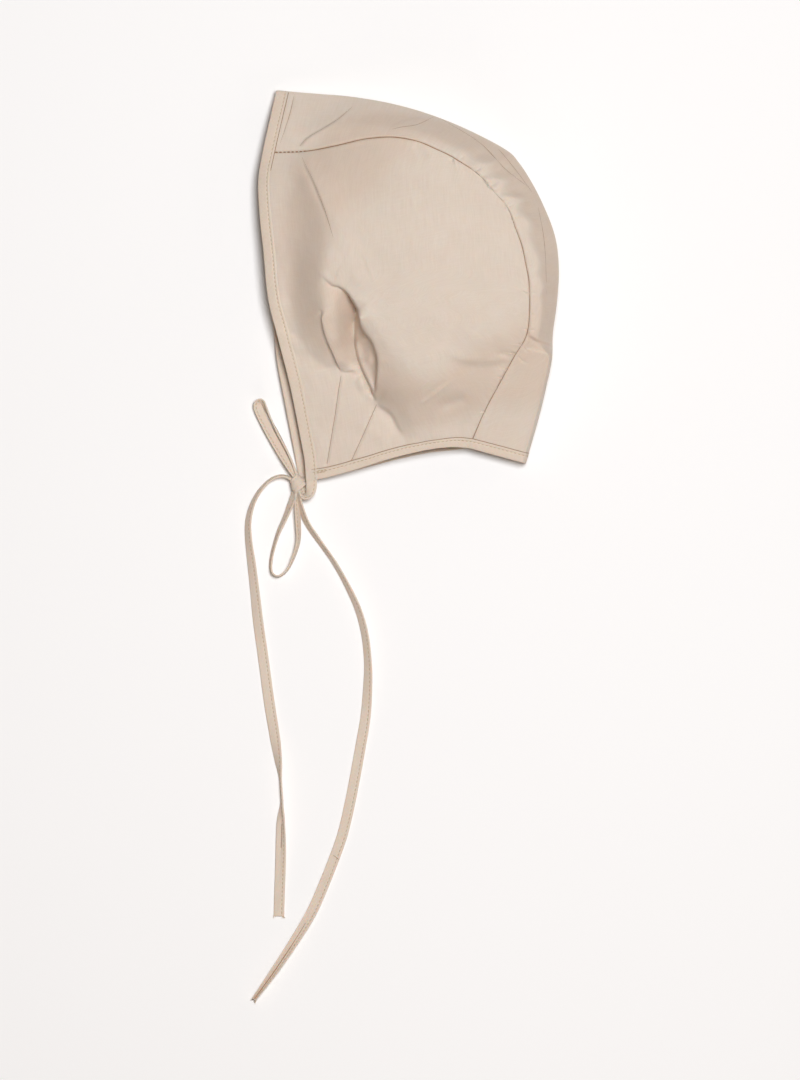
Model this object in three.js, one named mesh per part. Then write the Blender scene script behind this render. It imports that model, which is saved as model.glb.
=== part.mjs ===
// A baby's cotton bonnet lying on its right side, its two tie tapes knotted in a bow.
// Millimetres. +Z is up off the surface, +X towards the back of the head, +Y towards the crown.
// The wearer's left side panel is the upper one, and the face opening looks along -X.
import * as THREE from 'three';

// Driving dimensions
const CLOTH = 1.2;              // wall of the cloth pieces
const BINDING = 2.0;            // folded binding tape with the cloth edge inside it
const BINDING_WIDTH = 6.2;      // measured along the cloth
const NECK_BINDING_WIDTH = 5.3;
const GAP = 0.4;                // air between two neighbouring pieces, about 0.3 where they tilt
const SEAM_GAP = 0.55;          // what each piece keeps back from a seam, where they meet at an angle
const TAPE_WIDTH = 5.3;         // tie tape
const TAPE = 1.0;               // thickness of the tie tape
const CREST = 61;               // height that the upper panel's dome tends to
const FLOOR_PANEL = CLOTH / 2;  // height of the lower panel's middle surface
const SHOULDER = 7 / 16;        // share of the seam that lies ahead of the crown's highest corner

// Cells along and across each piece
const CELLS = {
  upper: [26, 26],
  lower: [14, 14],
  band: [40, 12],
};

const CLOTH_LOOK = { color: 0xddcebe, roughness: 0.9, metalness: 0 };
const TAPE_LOOK = { color: 0xd8c8b7, roughness: 0.92, metalness: 0 };

// The crown band, a row for each section from the face opening to the nape. x and y are the
// seam's and the fold ridge's places, which both layers share, and the last three columns are
// the heights of the upper seam, of the ridge and of the lower seam.
const BAND_SECTIONS = [
  { seamX: -72.85, seamY: 66.5, ridgeX: -66.0, ridgeY: 97.1, upperZ: 14.0, ridgeZ: 7.0, lowerZ: 1.5 },
  { seamX: -51.3, seamY: 67.1, ridgeX: -45.1, ridgeY: 95.6, upperZ: 20.0, ridgeZ: 10.0, lowerZ: 2.0 },
  { seamX: -37.2, seamY: 69.5, ridgeX: -29.1, ridgeY: 94.2, upperZ: 27.0, ridgeZ: 13.0, lowerZ: 2.5 },
  { seamX: -19.8, seamY: 73.2, ridgeX: -10.1, ridgeY: 91.0, upperZ: 34.0, ridgeZ: 16.0, lowerZ: 3.0 },
  { seamX: -4.1, seamY: 73.4, ridgeX: 8.4, ridgeY: 86.0, upperZ: 40.0, ridgeZ: 18.5, lowerZ: 4.0 },
  { seamX: 15.0, seamY: 67.5, ridgeX: 29.9, ridgeY: 77.4, upperZ: 44.5, ridgeZ: 21.0, lowerZ: 5.0 },
  { seamX: 30.0, seamY: 58.6, ridgeX: 50.9, ridgeY: 65.9, upperZ: 47.0, ridgeZ: 23.0, lowerZ: 5.0 },
  { seamX: 40.0, seamY: 49.7, ridgeX: 58.9, ridgeY: 55.5, upperZ: 48.0, ridgeZ: 24.0, lowerZ: 5.0 },
  { seamX: 48.4, seamY: 39.0, ridgeX: 66.6, ridgeY: 41.2, upperZ: 48.0, ridgeZ: 24.0, lowerZ: 5.0 },
  { seamX: 54.9, seamY: 24.0, ridgeX: 73.1, ridgeY: 24.0, upperZ: 47.0, ridgeZ: 24.0, lowerZ: 5.0 },
  { seamX: 59.4, seamY: 7.0, ridgeX: 74.9, ridgeY: 8.0, upperZ: 46.0, ridgeZ: 23.0, lowerZ: 5.0 },
  { seamX: 60.5, seamY: -9.5, ridgeX: 73.9, ridgeY: -9.0, upperZ: 44.0, ridgeZ: 22.0, lowerZ: 4.5 },
  { seamX: 58.9, seamY: -25.0, ridgeX: 71.9, ridgeY: -24.2, upperZ: 40.0, ridgeZ: 20.0, lowerZ: 4.0 },
  { seamX: 52.5, seamY: -36.3, ridgeX: 71.6, ridgeY: -36.0, upperZ: 34.0, ridgeZ: 17.0, lowerZ: 3.0 },
  { seamX: 44.5, seamY: -51.0, ridgeX: 68.6, ridgeY: -51.0, upperZ: 27.0, ridgeZ: 13.5, lowerZ: 2.5 },
  { seamX: 37.4, seamY: -64.5, ridgeX: 65.1, ridgeY: -65.5, upperZ: 20.0, ridgeZ: 10.0, lowerZ: 2.0 },
  { seamX: 30.4, seamY: -81.1, ridgeX: 58.4, ridgeY: -88.8, upperZ: 13.0, ridgeZ: 6.8, lowerZ: 1.3 },
];

// The edge round the face, from the neck corner up to the band's seam, on each side
const FACE_EDGE = {
  upper: [
    { x: -51.1, y: -97.7, z: 9.0 },
    { x: -51.9, y: -87.0, z: 11.0 },
    { x: -53.7, y: -77.0, z: 13.0 },
    { x: -58.0, y: -55.0, z: 18.0 },
    { x: -60.5, y: -44.0, z: 20.5 },
    { x: -65.3, y: -25.5, z: 24.0 },
    { x: -69.9, y: -7.0, z: 25.5 },
    { x: -72.3, y: 17.0, z: 25.0 },
    { x: -74.1, y: 34.0, z: 22.5 },
    { x: -74.9, y: 53.0, z: 17.5 },
    { x: -72.85, y: 66.5, z: 14.0 },
  ],
  lower: [
    { x: -54.6, y: -96.5, z: 1.15 },
    { x: -58.2, y: -77.0, z: 1.2 },
    { x: -62.0, y: -57.0, z: 1.4 },
    { x: -65.7, y: -37.0, z: 1.8 },
    { x: -66.9, y: -25.5, z: 2.0 },
    { x: -69.1, y: -7.0, z: 2.0 },
    { x: -71.1, y: 17.0, z: 1.8 },
    { x: -72.8, y: 34.0, z: 1.5 },
    { x: -73.8, y: 53.0, z: 1.4 },
    { x: -72.85, y: 66.5, z: 1.5 },
  ],
};

// The edge round the neck, from the front corner back to the band's seam, on each side
const NECK_EDGE = {
  upper: [
    { x: -51.1, y: -97.7, z: 9.0 },
    { x: -40.5, y: -95.8, z: 10.0 },
    { x: -24.0, y: -91.2, z: 14.0 },
    { x: -9.1, y: -86.5, z: 17.5 },
    { x: 9.7, y: -82.0, z: 19.0 },
    { x: 20.9, y: -80.7, z: 17.0 },
    { x: 30.4, y: -81.1, z: 13.0 },
  ],
  lower: [
    { x: -54.6, y: -96.5, z: 1.15 },
    { x: -40.5, y: -95.2, z: 1.2 },
    { x: -24.0, y: -91.6, z: 1.2 },
    { x: -9.1, y: -87.6, z: 1.3 },
    { x: 9.7, y: -83.5, z: 1.3 },
    { x: 20.9, y: -82.2, z: 1.3 },
    { x: 30.4, y: -81.1, z: 1.3 },
  ],
};

// How fast each side of a panel turns from its edge's height into the panel's flat height
const TURN = {
  upper: { face: 3.0, back: 3.2, neck: 3.2, top: 3.0 },
  lower: { face: 7, back: 9, neck: 7, top: 9 },
};

// The upper panel's main folds: a straight run, its height, and its width to either side
const FOLDS = [
  { name: 'front dart', x1: -40, y1: -92, x2: -34, y2: -44, height: 0.8, width: 3.5 },
  { name: 'fold over the front dart', x1: -35, y1: -42, x2: -42, y2: -14, height: 3.0, width: 5 },
  { name: 'middle fold, low', x1: -15.5, y1: -59, x2: -26, y2: -32, height: 3.5, width: 5 },
  { name: 'middle fold, high', x1: -26, y1: -32, x2: -29, y2: -2, height: 4.0, width: 6 },
  { name: 'rear fold', x1: -15.5, y1: -59, x2: -17, y2: -26, height: 3.0, width: 5 },
  { name: 'ridge to the neck', x1: -15.5, y1: -59, x2: -1, y2: -76, height: 2.5, width: 6 },
  { name: 'crease under the crown', x1: -53, y1: 64, x2: -37, y2: 24, height: 1.2, width: 4 },
];

// The bow's knot, a flattened ball
const KNOT = { x: -55.5, y: -98.3, z: 5.3, rx: 3.7, ry: 4.0, rz: 2.8 };

// The tie tapes' routes. turn is the tape's tilt about its own run, 0 lying flat and 90 on
// its edge, and share is how much of its full width the tape has there.
const TIE_ROUTES = {
  tie_left_lead: [
    { x: -48.2, y: -98.2, z: 9.0, turn: 0, share: 1.0 },
    { x: -48.2, y: -101.6, z: 8.6, turn: 10, share: 0.9 },
    { x: -49.3, y: -104.6, z: 7.8, turn: 40, share: 0.75 },
    { x: -51.3, y: -105.2, z: 6.9, turn: 60, share: 0.6 },
    { x: -52.4, y: -104.2, z: 6.2, turn: 80, share: 0.5 },
    { x: -53.1, y: -101.8, z: 5.8, turn: 90, share: 0.45 },
  ],
  tie_right_lead: [
    { x: -51.6, y: -97.0, z: 1.4, turn: 0, share: 0.8 },
    { x: -51.0, y: -99.4, z: 1.8, turn: 0, share: 0.6 },
    { x: -50.8, y: -101.0, z: 2.6, turn: 15, share: 0.45 },
    { x: -51.7, y: -101.6, z: 3.4, turn: 20, share: 0.4 },
    { x: -52.6, y: -101.1, z: 3.8, turn: 20, share: 0.35 },
  ],
  tie_right_loop: [
    { x: -57.6, y: -94.6, z: 5.6, turn: 60, share: 0.6 },
    { x: -60.6, y: -88.6, z: 4.6, turn: 70, share: 0.9 },
    { x: -65.2, y: -79.4, z: 3.2, turn: 80, share: 1.0 },
    { x: -70.8, y: -69.4, z: 3.0, turn: 85, share: 1.0 },
    { x: -74.4, y: -61.6, z: 3.0, turn: 90, share: 1.0 },
    { x: -75.4, y: -58.6, z: 3.0, turn: 90, share: 1.0 },
    { x: -73.8, y: -57.6, z: 3.0, turn: 90, share: 1.0 },
    { x: -71.9, y: -59.4, z: 3.0, turn: 90, share: 1.0 },
    { x: -69.4, y: -64.8, z: 3.0, turn: 90, share: 1.0 },
    { x: -65.6, y: -73.2, z: 3.2, turn: 90, share: 1.0 },
    { x: -60.4, y: -84.2, z: 5.2, turn: 80, share: 0.8 },
    { x: -56.0, y: -93.8, z: 6.0, turn: 75, share: 0.5 },
  ],
  tie_right_tail: [
    { x: -59.4, y: -97.3, z: 4.9, turn: 75, share: 0.5 },
    { x: -63.9, y: -95.6, z: 3.6, turn: 75, share: 0.8 },
    { x: -69.4, y: -98.2, z: 2.9, turn: 75, share: 0.95 },
    { x: -74.9, y: -105.2, z: 2.7, turn: 65, share: 1.0 },
    { x: -78.4, y: -113.6, z: 2.4, turn: 50, share: 1.0 },
    { x: -79.8, y: -124.1, z: 1.9, turn: 30, share: 1.0 },
    { x: -79.8, y: -134.7, z: 1.5, turn: 15, share: 1.0 },
    { x: -77.8, y: -152.2, z: 0.9, turn: 3, share: 1.0 },
    { x: -75.3, y: -167.0, z: 0.8, turn: 0, share: 1.0 },
    { x: -72.3, y: -187.0, z: 0.8, turn: 0, share: 1.0 },
    { x: -69.6, y: -207.0, z: 0.8, turn: 0, share: 1.0 },
    { x: -67.2, y: -222.0, z: 1.0, turn: 8, share: 1.0 },
    { x: -65.1, y: -236.0, z: 2.2, turn: 45, share: 1.0 },
    { x: -63.7, y: -248.5, z: 3.0, turn: 80, share: 1.0 },
    { x: -63.2, y: -257.0, z: 2.9, turn: 75, share: 1.0 },
    { x: -63.0, y: -268.0, z: 2.0, turn: 40, share: 1.0 },
    { x: -63.5, y: -284.0, z: 1.2, turn: 15, share: 1.0 },
    { x: -64.3, y: -303.5, z: 0.8, turn: 0, share: 1.0 },
    { x: -64.6, y: -315.0, z: 0.8, turn: 0, share: 1.0 },
  ],
  tie_left_loop: [
    { x: -57.9, y: -101.9, z: 4.9, turn: 90, share: 0.5 },
    { x: -59.8, y: -107.2, z: 4.0, turn: 88, share: 0.8 },
    { x: -63.6, y: -119.4, z: 3.1, turn: 88, share: 1.0 },
    { x: -67.0, y: -130.6, z: 3.0, turn: 90, share: 1.0 },
    { x: -68.8, y: -139.6, z: 3.0, turn: 90, share: 1.0 },
    { x: -68.2, y: -143.8, z: 3.0, turn: 90, share: 1.0 },
    { x: -65.2, y: -145.2, z: 3.0, turn: 90, share: 1.0 },
    { x: -61.2, y: -142.8, z: 3.0, turn: 90, share: 1.0 },
    { x: -57.2, y: -135.8, z: 3.0, turn: 90, share: 1.0 },
    { x: -54.9, y: -127.8, z: 3.1, turn: 88, share: 1.0 },
    { x: -54.6, y: -117.4, z: 3.5, turn: 88, share: 0.9 },
    { x: -56.0, y: -108.4, z: 4.2, turn: 90, share: 0.7 },
    { x: -56.4, y: -102.65, z: 5.0, turn: 90, share: 0.5 },
  ],
  tie_left_tail: [
    { x: -54.8, y: -102.6, z: 5.0, turn: 90, share: 0.5 },
    { x: -54.0, y: -107.4, z: 4.3, turn: 88, share: 0.7 },
    { x: -51.9, y: -114.8, z: 3.4, turn: 84, share: 0.9 },
    { x: -46.9, y: -122.8, z: 3.0, turn: 75, share: 1.0 },
    { x: -40.0, y: -133.3, z: 2.8, turn: 65, share: 1.0 },
    { x: -30.4, y: -149.7, z: 2.5, turn: 55, share: 1.0 },
    { x: -25.3, y: -160.6, z: 2.3, turn: 48, share: 1.0 },
    { x: -21.6, y: -172.7, z: 2.0, turn: 38, share: 1.0 },
    { x: -20.2, y: -188.0, z: 1.6, turn: 25, share: 1.0 },
    { x: -20.3, y: -200.8, z: 1.2, turn: 12, share: 1.0 },
    { x: -21.5, y: -216.7, z: 0.9, turn: 3, share: 1.0 },
    { x: -23.4, y: -228.0, z: 0.8, turn: 0, share: 1.0 },
    { x: -28.8, y: -257.0, z: 0.8, turn: 0, share: 1.0 },
    { x: -33.0, y: -274.8, z: 0.8, turn: 0, share: 1.0 },
    { x: -36.8, y: -285.6, z: 0.8, turn: 0, share: 1.0 },
    { x: -42.6, y: -300.3, z: 0.8, turn: 0, share: 1.0 },
    { x: -48.3, y: -313.1, z: 0.8, turn: 0, share: 1.0 },
    { x: -56.3, y: -326.6, z: 1.0, turn: 10, share: 0.9 },
    { x: -66.8, y: -342.5, z: 1.2, turn: 20, share: 0.8 },
    { x: -77.1, y: -356.8, z: 1.2, turn: 25, share: 0.65 },
  ],
};

// Steps along each tape
const TIE_STEPS = {
  tie_left_lead: 8,
  tie_right_lead: 7,
  tie_right_loop: 30,
  tie_right_tail: 42,
  tie_left_loop: 32,
  tie_left_tail: 46,
};

// Smooth curves through the rows of a table
const vector = (row) => new THREE.Vector3(row.x, row.y, row.z);
const curveThrough = (points) => new THREE.CatmullRomCurve3(points, false, 'centripetal');
const seamPoint = (row, z) => new THREE.Vector3(row.seamX, row.seamY, z);

const upperSeam = curveThrough(BAND_SECTIONS.map((row) => seamPoint(row, row.upperZ)));
const lowerSeam = curveThrough(BAND_SECTIONS.map((row) => seamPoint(row, row.lowerZ)));
const ridge = curveThrough(BAND_SECTIONS.map((row) => new THREE.Vector3(row.ridgeX, row.ridgeY, row.ridgeZ)));

// A side panel between its face edge, neck edge and two stretches of the seam. u runs from
// the face to the back and v from the neck to the crown. The plan is a blend of the four
// sides; the height leaves each side and tends to the panel's own flat height.
function sidePanel(side, seam, flatHeight, folds) {
  const face = curveThrough(FACE_EDGE[side].map(vector));
  const neck = curveThrough(NECK_EDGE[side].map(vector));
  const turn = TURN[side];
  const corners = {
    faceNeck: face.getPoint(0),
    backNeck: seam.getPoint(1),
    faceTop: seam.getPoint(0),
    backTop: seam.getPoint(SHOULDER),
  };
  const blend = (u, v, axis, offset, faceWeight, backWeight, neckWeight, topWeight) => {
    const left = face.getPoint(v)[axis] - offset;
    const right = seam.getPoint(1 - (1 - SHOULDER) * v)[axis] - offset;
    const bottom = neck.getPoint(u)[axis] - offset;
    const top = seam.getPoint(SHOULDER * u)[axis] - offset;
    return offset + faceWeight * left + backWeight * right + neckWeight * bottom + topWeight * top
      - faceWeight * neckWeight * (corners.faceNeck[axis] - offset)
      - backWeight * neckWeight * (corners.backNeck[axis] - offset)
      - faceWeight * topWeight * (corners.faceTop[axis] - offset)
      - backWeight * topWeight * (corners.backTop[axis] - offset);
  };
  return (u, v) => {
    const x = blend(u, v, 'x', 0, 1 - u, u, 1 - v, v);
    const y = blend(u, v, 'y', 0, 1 - u, u, 1 - v, v);
    const z = blend(u, v, 'z', flatHeight, (1 - u) ** turn.face, u ** turn.back,
      (1 - v) ** turn.neck, v ** turn.top);
    return new THREE.Vector3(x, y, z + foldHeight(x, y, folds));
  };
}

// The folds' height at a place: each is a rounded ridge, and where two meet they melt together
function foldHeight(x, y, folds) {
  let height = 0;
  for (const fold of folds) {
    const runX = fold.x2 - fold.x1;
    const runY = fold.y2 - fold.y1;
    const along = ((x - fold.x1) * runX + (y - fold.y1) * runY) / (runX ** 2 + runY ** 2);
    const nearest = Math.min(Math.max(along, 0), 1);
    const away = Math.hypot(x - fold.x1 - nearest * runX, y - fold.y1 - nearest * runY);
    height += (fold.height * Math.exp(-((away / fold.width) ** 2))) ** 2;
  }
  return Math.sqrt(height);
}

// The crown band: half an ellipse from the upper seam out over the ridge to the lower seam.
// s runs from the face to the nape and turn from 0 at the upper seam to 1 at the lower one.
function crownBand(s, turn) {
  const upper = upperSeam.getPoint(s);
  const lower = lowerSeam.getPoint(s);
  const middle = upper.clone().add(lower).multiplyScalar(0.5);
  const outward = ridge.getPoint(s).sub(middle);
  const upward = upper.clone().sub(middle);
  return middle
    .addScaledVector(outward, Math.sin(Math.PI * turn))
    .addScaledVector(upward, Math.cos(Math.PI * turn));
}

const upperPanel = sidePanel('upper', upperSeam, CREST, FOLDS);
const lowerPanel = sidePanel('lower', lowerSeam, FLOOR_PANEL, []);

// The share of a line's parameter that a distance along the cloth takes at its start
function shareOf(distance, point) {
  const step = 0.01;
  return (distance * step) / point(step).distanceTo(point(0));
}

// Where each piece starts and ends: the bindings' inner edges as shares of each surface
const faceShare = {
  upper: (v) => shareOf(BINDING_WIDTH, (t) => upperPanel(t, v)),
  lower: (v) => shareOf(BINDING_WIDTH, (t) => lowerPanel(t, v)),
  band: (turn) => shareOf(BINDING_WIDTH, (t) => crownBand(t, turn)),
};
const neckShare = {
  upper: (u) => shareOf(NECK_BINDING_WIDTH, (t) => upperPanel(u, t)),
  lower: (u) => shareOf(NECK_BINDING_WIDTH, (t) => lowerPanel(u, t)),
  band: (turn) => shareOf(NECK_BINDING_WIDTH, (t) => crownBand(1 - t, turn)),
};
const faceStart = (BINDING_WIDTH + GAP) / BINDING_WIDTH;
const neckStart = (NECK_BINDING_WIDTH + GAP) / NECK_BINDING_WIDTH;

// A grid of points over a rectangle of two parameters
function grid(columns, rows, point) {
  const points = [];
  for (let i = 0; i <= columns; i += 1) {
    const line = [];
    for (let j = 0; j <= rows; j += 1) {
      line.push(point(i / columns, j / rows));
    }
    points.push(line);
  }
  return points;
}

// The cloth of a panel lies inside both bindings and stops short of the seam
function panelGrid(surface, side, [columns, rows]) {
  return grid(columns, rows, (a, b) => {
    const v0 = neckShare[side](Math.min(a + 0.05, 1)) * neckStart;
    const v1 = 1 - shareOf(SEAM_GAP, (t) => surface(a, 1 - t));
    const v = v0 + (v1 - v0) * b;
    const u0 = faceShare[side](v) * faceStart;
    const u1 = 1 - shareOf(SEAM_GAP, (t) => surface(1 - t, v));
    return surface(u0 + (u1 - u0) * a, v);
  });
}

function bandGrid([columns, rows]) {
  return grid(columns, rows, (a, b) => {
    const seamGap = shareOf(SEAM_GAP, (t) => crownBand(a, t));
    const turn = seamGap + (1 - 2 * seamGap) * b;
    const start = faceShare.band(turn) * faceStart;
    const end = 1 - neckShare.band(turn) * neckStart;
    return crownBand(start + (end - start) * a, turn);
  });
}

// A binding runs up one side of the opening, over the folded band and back along the other
function faceBindingGrid(sideRows, bandRows) {
  const points = [];
  const across = (surface, share) => [surface(0), surface(share)];
  for (let i = 0; i <= sideRows; i += 1) {
    const v = i / sideRows;
    points.push(across((t) => upperPanel(t, v), faceShare.upper(v)));
  }
  for (let i = 1; i < bandRows; i += 1) {
    const turn = i / bandRows;
    points.push(across((t) => crownBand(t, turn), faceShare.band(turn)));
  }
  for (let i = sideRows; i >= 0; i -= 1) {
    const v = i / sideRows;
    points.push(across((t) => lowerPanel(t, v), faceShare.lower(v)));
  }
  return points;
}

function neckBindingGrid(sideRows, bandRows) {
  const points = [];
  const across = (surface, share) => [surface(0), surface(share)];
  for (let i = 0; i <= sideRows; i += 1) {
    const start = faceShare.upper(0) * faceStart;
    const u = start + (1 - start) * (i / sideRows);
    points.push(across((t) => upperPanel(u, t), neckShare.upper(u)));
  }
  for (let i = 1; i < bandRows; i += 1) {
    const turn = i / bandRows;
    points.push(across((t) => crownBand(1 - t, turn), neckShare.band(turn)));
  }
  for (let i = sideRows; i >= 0; i -= 1) {
    const start = faceShare.lower(0) * faceStart;
    const u = start + (1 - start) * (i / sideRows);
    points.push(across((t) => lowerPanel(u, t), neckShare.lower(u)));
  }
  return points;
}

// A closed wall of an even thickness about a grid of points
function wallGeometry(points, thickness) {
  const columns = points.length;
  const rows = points[0].length;
  const index = (i, j, side) => (i * rows + j) * 2 + side;
  const positions = [];
  for (let i = 0; i < columns; i += 1) {
    for (let j = 0; j < rows; j += 1) {
      const alongColumns = points[Math.min(i + 1, columns - 1)][j].clone().sub(points[Math.max(i - 1, 0)][j]);
      const alongRows = points[i][Math.min(j + 1, rows - 1)].clone().sub(points[i][Math.max(j - 1, 0)]);
      const normal = alongColumns.cross(alongRows).normalize().multiplyScalar(thickness / 2);
      positions.push(...points[i][j].clone().add(normal).toArray());
      positions.push(...points[i][j].clone().sub(normal).toArray());
    }
  }
  const triangles = [];
  const quad = (a, b, c, d) => triangles.push(a, b, c, a, c, d);
  for (let i = 0; i < columns - 1; i += 1) {
    for (let j = 0; j < rows - 1; j += 1) {
      quad(index(i, j, 0), index(i + 1, j, 0), index(i + 1, j + 1, 0), index(i, j + 1, 0));
      quad(index(i, j + 1, 1), index(i + 1, j + 1, 1), index(i + 1, j, 1), index(i, j, 1));
    }
  }
  const rim = (i1, j1, i2, j2) => {
    quad(index(i2, j2, 0), index(i1, j1, 0), index(i1, j1, 1), index(i2, j2, 1));
  };
  for (let i = 0; i < columns - 1; i += 1) {
    rim(i, 0, i + 1, 0);
    rim(i + 1, rows - 1, i, rows - 1);
  }
  for (let j = 0; j < rows - 1; j += 1) {
    rim(0, j + 1, 0, j);
    rim(columns - 1, j, columns - 1, j + 1);
  }
  return closedGeometry(positions, triangles);
}

// An indexed geometry whose faces point out of the body
function closedGeometry(positions, triangles) {
  const at = (k) => new THREE.Vector3(positions[3 * k], positions[3 * k + 1], positions[3 * k + 2]);
  let volume = 0;
  for (let k = 0; k < triangles.length; k += 3) {
    volume += at(triangles[k]).dot(at(triangles[k + 1]).cross(at(triangles[k + 2]))) / 6;
  }
  const ordered = volume > 0 ? triangles : triangles.slice().reverse();
  const geometry = new THREE.BufferGeometry();
  geometry.setAttribute('position', new THREE.Float32BufferAttribute(positions, 3));
  geometry.setIndex(ordered);
  return geometry;
}

// A tape's route, whose frames hold the tape's width level unless the table turns it
class TapeRoute extends THREE.CatmullRomCurve3 {
  constructor(rows) {
    super(rows.map(vector), false, 'centripetal');
    this.rows = rows;
  }

  between(column, t) {
    const place = t * (this.rows.length - 1);
    const first = Math.min(Math.floor(place), this.rows.length - 2);
    return THREE.MathUtils.lerp(this.rows[first][column], this.rows[first + 1][column], place - first);
  }

  computeFrenetFrames(segments) {
    const frames = { tangents: [], normals: [], binormals: [] };
    const up = new THREE.Vector3(0, 0, 1);
    for (let i = 0; i <= segments; i += 1) {
      const t = this.getUtoTmapping(i / segments);
      const tangent = this.getTangent(t);
      const turn = THREE.MathUtils.degToRad(this.between('turn', t));
      const side = new THREE.Vector3().crossVectors(up, tangent).normalize();
      const normal = side.clone().applyAxisAngle(tangent, turn);
      const binormal = new THREE.Vector3().crossVectors(tangent, normal).normalize();
      frames.tangents.push(tangent);
      frames.normals.push(normal.multiplyScalar(this.between('share', t)));
      frames.binormals.push(binormal);
    }
    return frames;
  }
}

// An eight-sided tape section: flat faces with chamfered edges
function tapeSection() {
  const halfWidth = TAPE_WIDTH / 2;
  const halfThick = TAPE / 2;
  const chamfer = TAPE / 3;
  const shape = new THREE.Shape();
  shape.moveTo(halfWidth, -halfThick + chamfer);
  shape.lineTo(halfWidth, halfThick - chamfer);
  shape.lineTo(halfWidth - chamfer, halfThick);
  shape.lineTo(-halfWidth + chamfer, halfThick);
  shape.lineTo(-halfWidth, halfThick - chamfer);
  shape.lineTo(-halfWidth, -halfThick + chamfer);
  shape.lineTo(-halfWidth + chamfer, -halfThick);
  shape.lineTo(halfWidth - chamfer, -halfThick);
  shape.closePath();
  return shape;
}

function tapeGeometry(name) {
  return new THREE.ExtrudeGeometry(tapeSection(), {
    steps: TIE_STEPS[name],
    bevelEnabled: false,
    extrudePath: new TapeRoute(TIE_ROUTES[name]),
  });
}

function knotGeometry() {
  const geometry = new THREE.SphereGeometry(1, 14, 10);
  geometry.scale(KNOT.rx, KNOT.ry, KNOT.rz);
  return geometry;
}

function namedMesh(name, geometry, look) {
  const mesh = new THREE.Mesh(geometry, new THREE.MeshStandardMaterial(look));
  mesh.name = name;
  return mesh;
}

const bonnet = new THREE.Group();
bonnet.add(
  namedMesh('side_panel_left', wallGeometry(panelGrid(upperPanel, 'upper', CELLS.upper), CLOTH), CLOTH_LOOK),
  namedMesh('side_panel_right', wallGeometry(panelGrid(lowerPanel, 'lower', CELLS.lower), CLOTH), CLOTH_LOOK),
  namedMesh('crown_band', wallGeometry(bandGrid(CELLS.band), CLOTH), CLOTH_LOOK),
  namedMesh('face_binding', wallGeometry(faceBindingGrid(24, 12), BINDING), TAPE_LOOK),
  namedMesh('neck_binding', wallGeometry(neckBindingGrid(16, 12), BINDING), TAPE_LOOK),
);
for (const name of Object.keys(TIE_ROUTES)) {
  bonnet.add(namedMesh(name, tapeGeometry(name), TAPE_LOOK));
}
const knot = namedMesh('bow_knot', knotGeometry(), TAPE_LOOK);
knot.position.set(KNOT.x, KNOT.y, KNOT.z);
bonnet.add(knot);

export default bonnet;
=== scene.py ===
"""A baby's cotton bonnet laid on its right side, its tie tapes knotted in a bow.

The frame: +Z up off the surface, +Y towards the crown, +X towards the back of the head.
Tables hold millimetres and MM turns them into metres when a mesh is made.
"""

import math
import random

import bpy
import numpy as np
from mathutils import Matrix


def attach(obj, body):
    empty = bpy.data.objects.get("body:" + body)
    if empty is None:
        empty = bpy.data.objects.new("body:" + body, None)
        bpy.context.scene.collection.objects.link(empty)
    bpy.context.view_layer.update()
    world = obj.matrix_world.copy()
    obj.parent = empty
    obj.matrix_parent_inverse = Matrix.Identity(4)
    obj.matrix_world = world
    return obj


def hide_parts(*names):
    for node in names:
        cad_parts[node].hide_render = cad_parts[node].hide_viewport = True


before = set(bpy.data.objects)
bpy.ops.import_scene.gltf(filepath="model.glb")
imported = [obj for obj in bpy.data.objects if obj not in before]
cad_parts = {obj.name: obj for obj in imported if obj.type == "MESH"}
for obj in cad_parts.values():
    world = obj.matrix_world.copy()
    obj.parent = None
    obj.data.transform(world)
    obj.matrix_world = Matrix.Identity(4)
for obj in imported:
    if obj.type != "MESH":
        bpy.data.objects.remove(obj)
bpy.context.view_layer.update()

MM = 0.001

# Real sizes, in millimetres
CLOTH = 0.55                  # poplin with its turned edges, drawn slightly stout
BINDING_WIDTH = 6.2           # measured along the cloth
NECK_BINDING_WIDTH = 5.3
BINDING_HALF = 0.55           # half the thickness of the bound edge
TAPE_WIDTH = 5.3
TAPE_HALF = 0.42              # half the thickness of the folded tie tape
STITCH_PITCH = 2.1
STITCH_LENGTH = 1.45
STITCH_RADIUS = 0.19
STITCH_INSET = 1.35           # from the folded edge of the tape to its stitch line
TUCK = 2.2                    # how far the cloth reaches under a binding
SEAM_DEPTH = 0.7              # how deep the cloth turns down into a seam
SEAM_HALF = 0.5
FLOOR_PANEL = 0.35            # height of the lower panel's middle surface
SHOULDER = 8 / 17             # share of the seam ahead of the crown's highest corner

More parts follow.
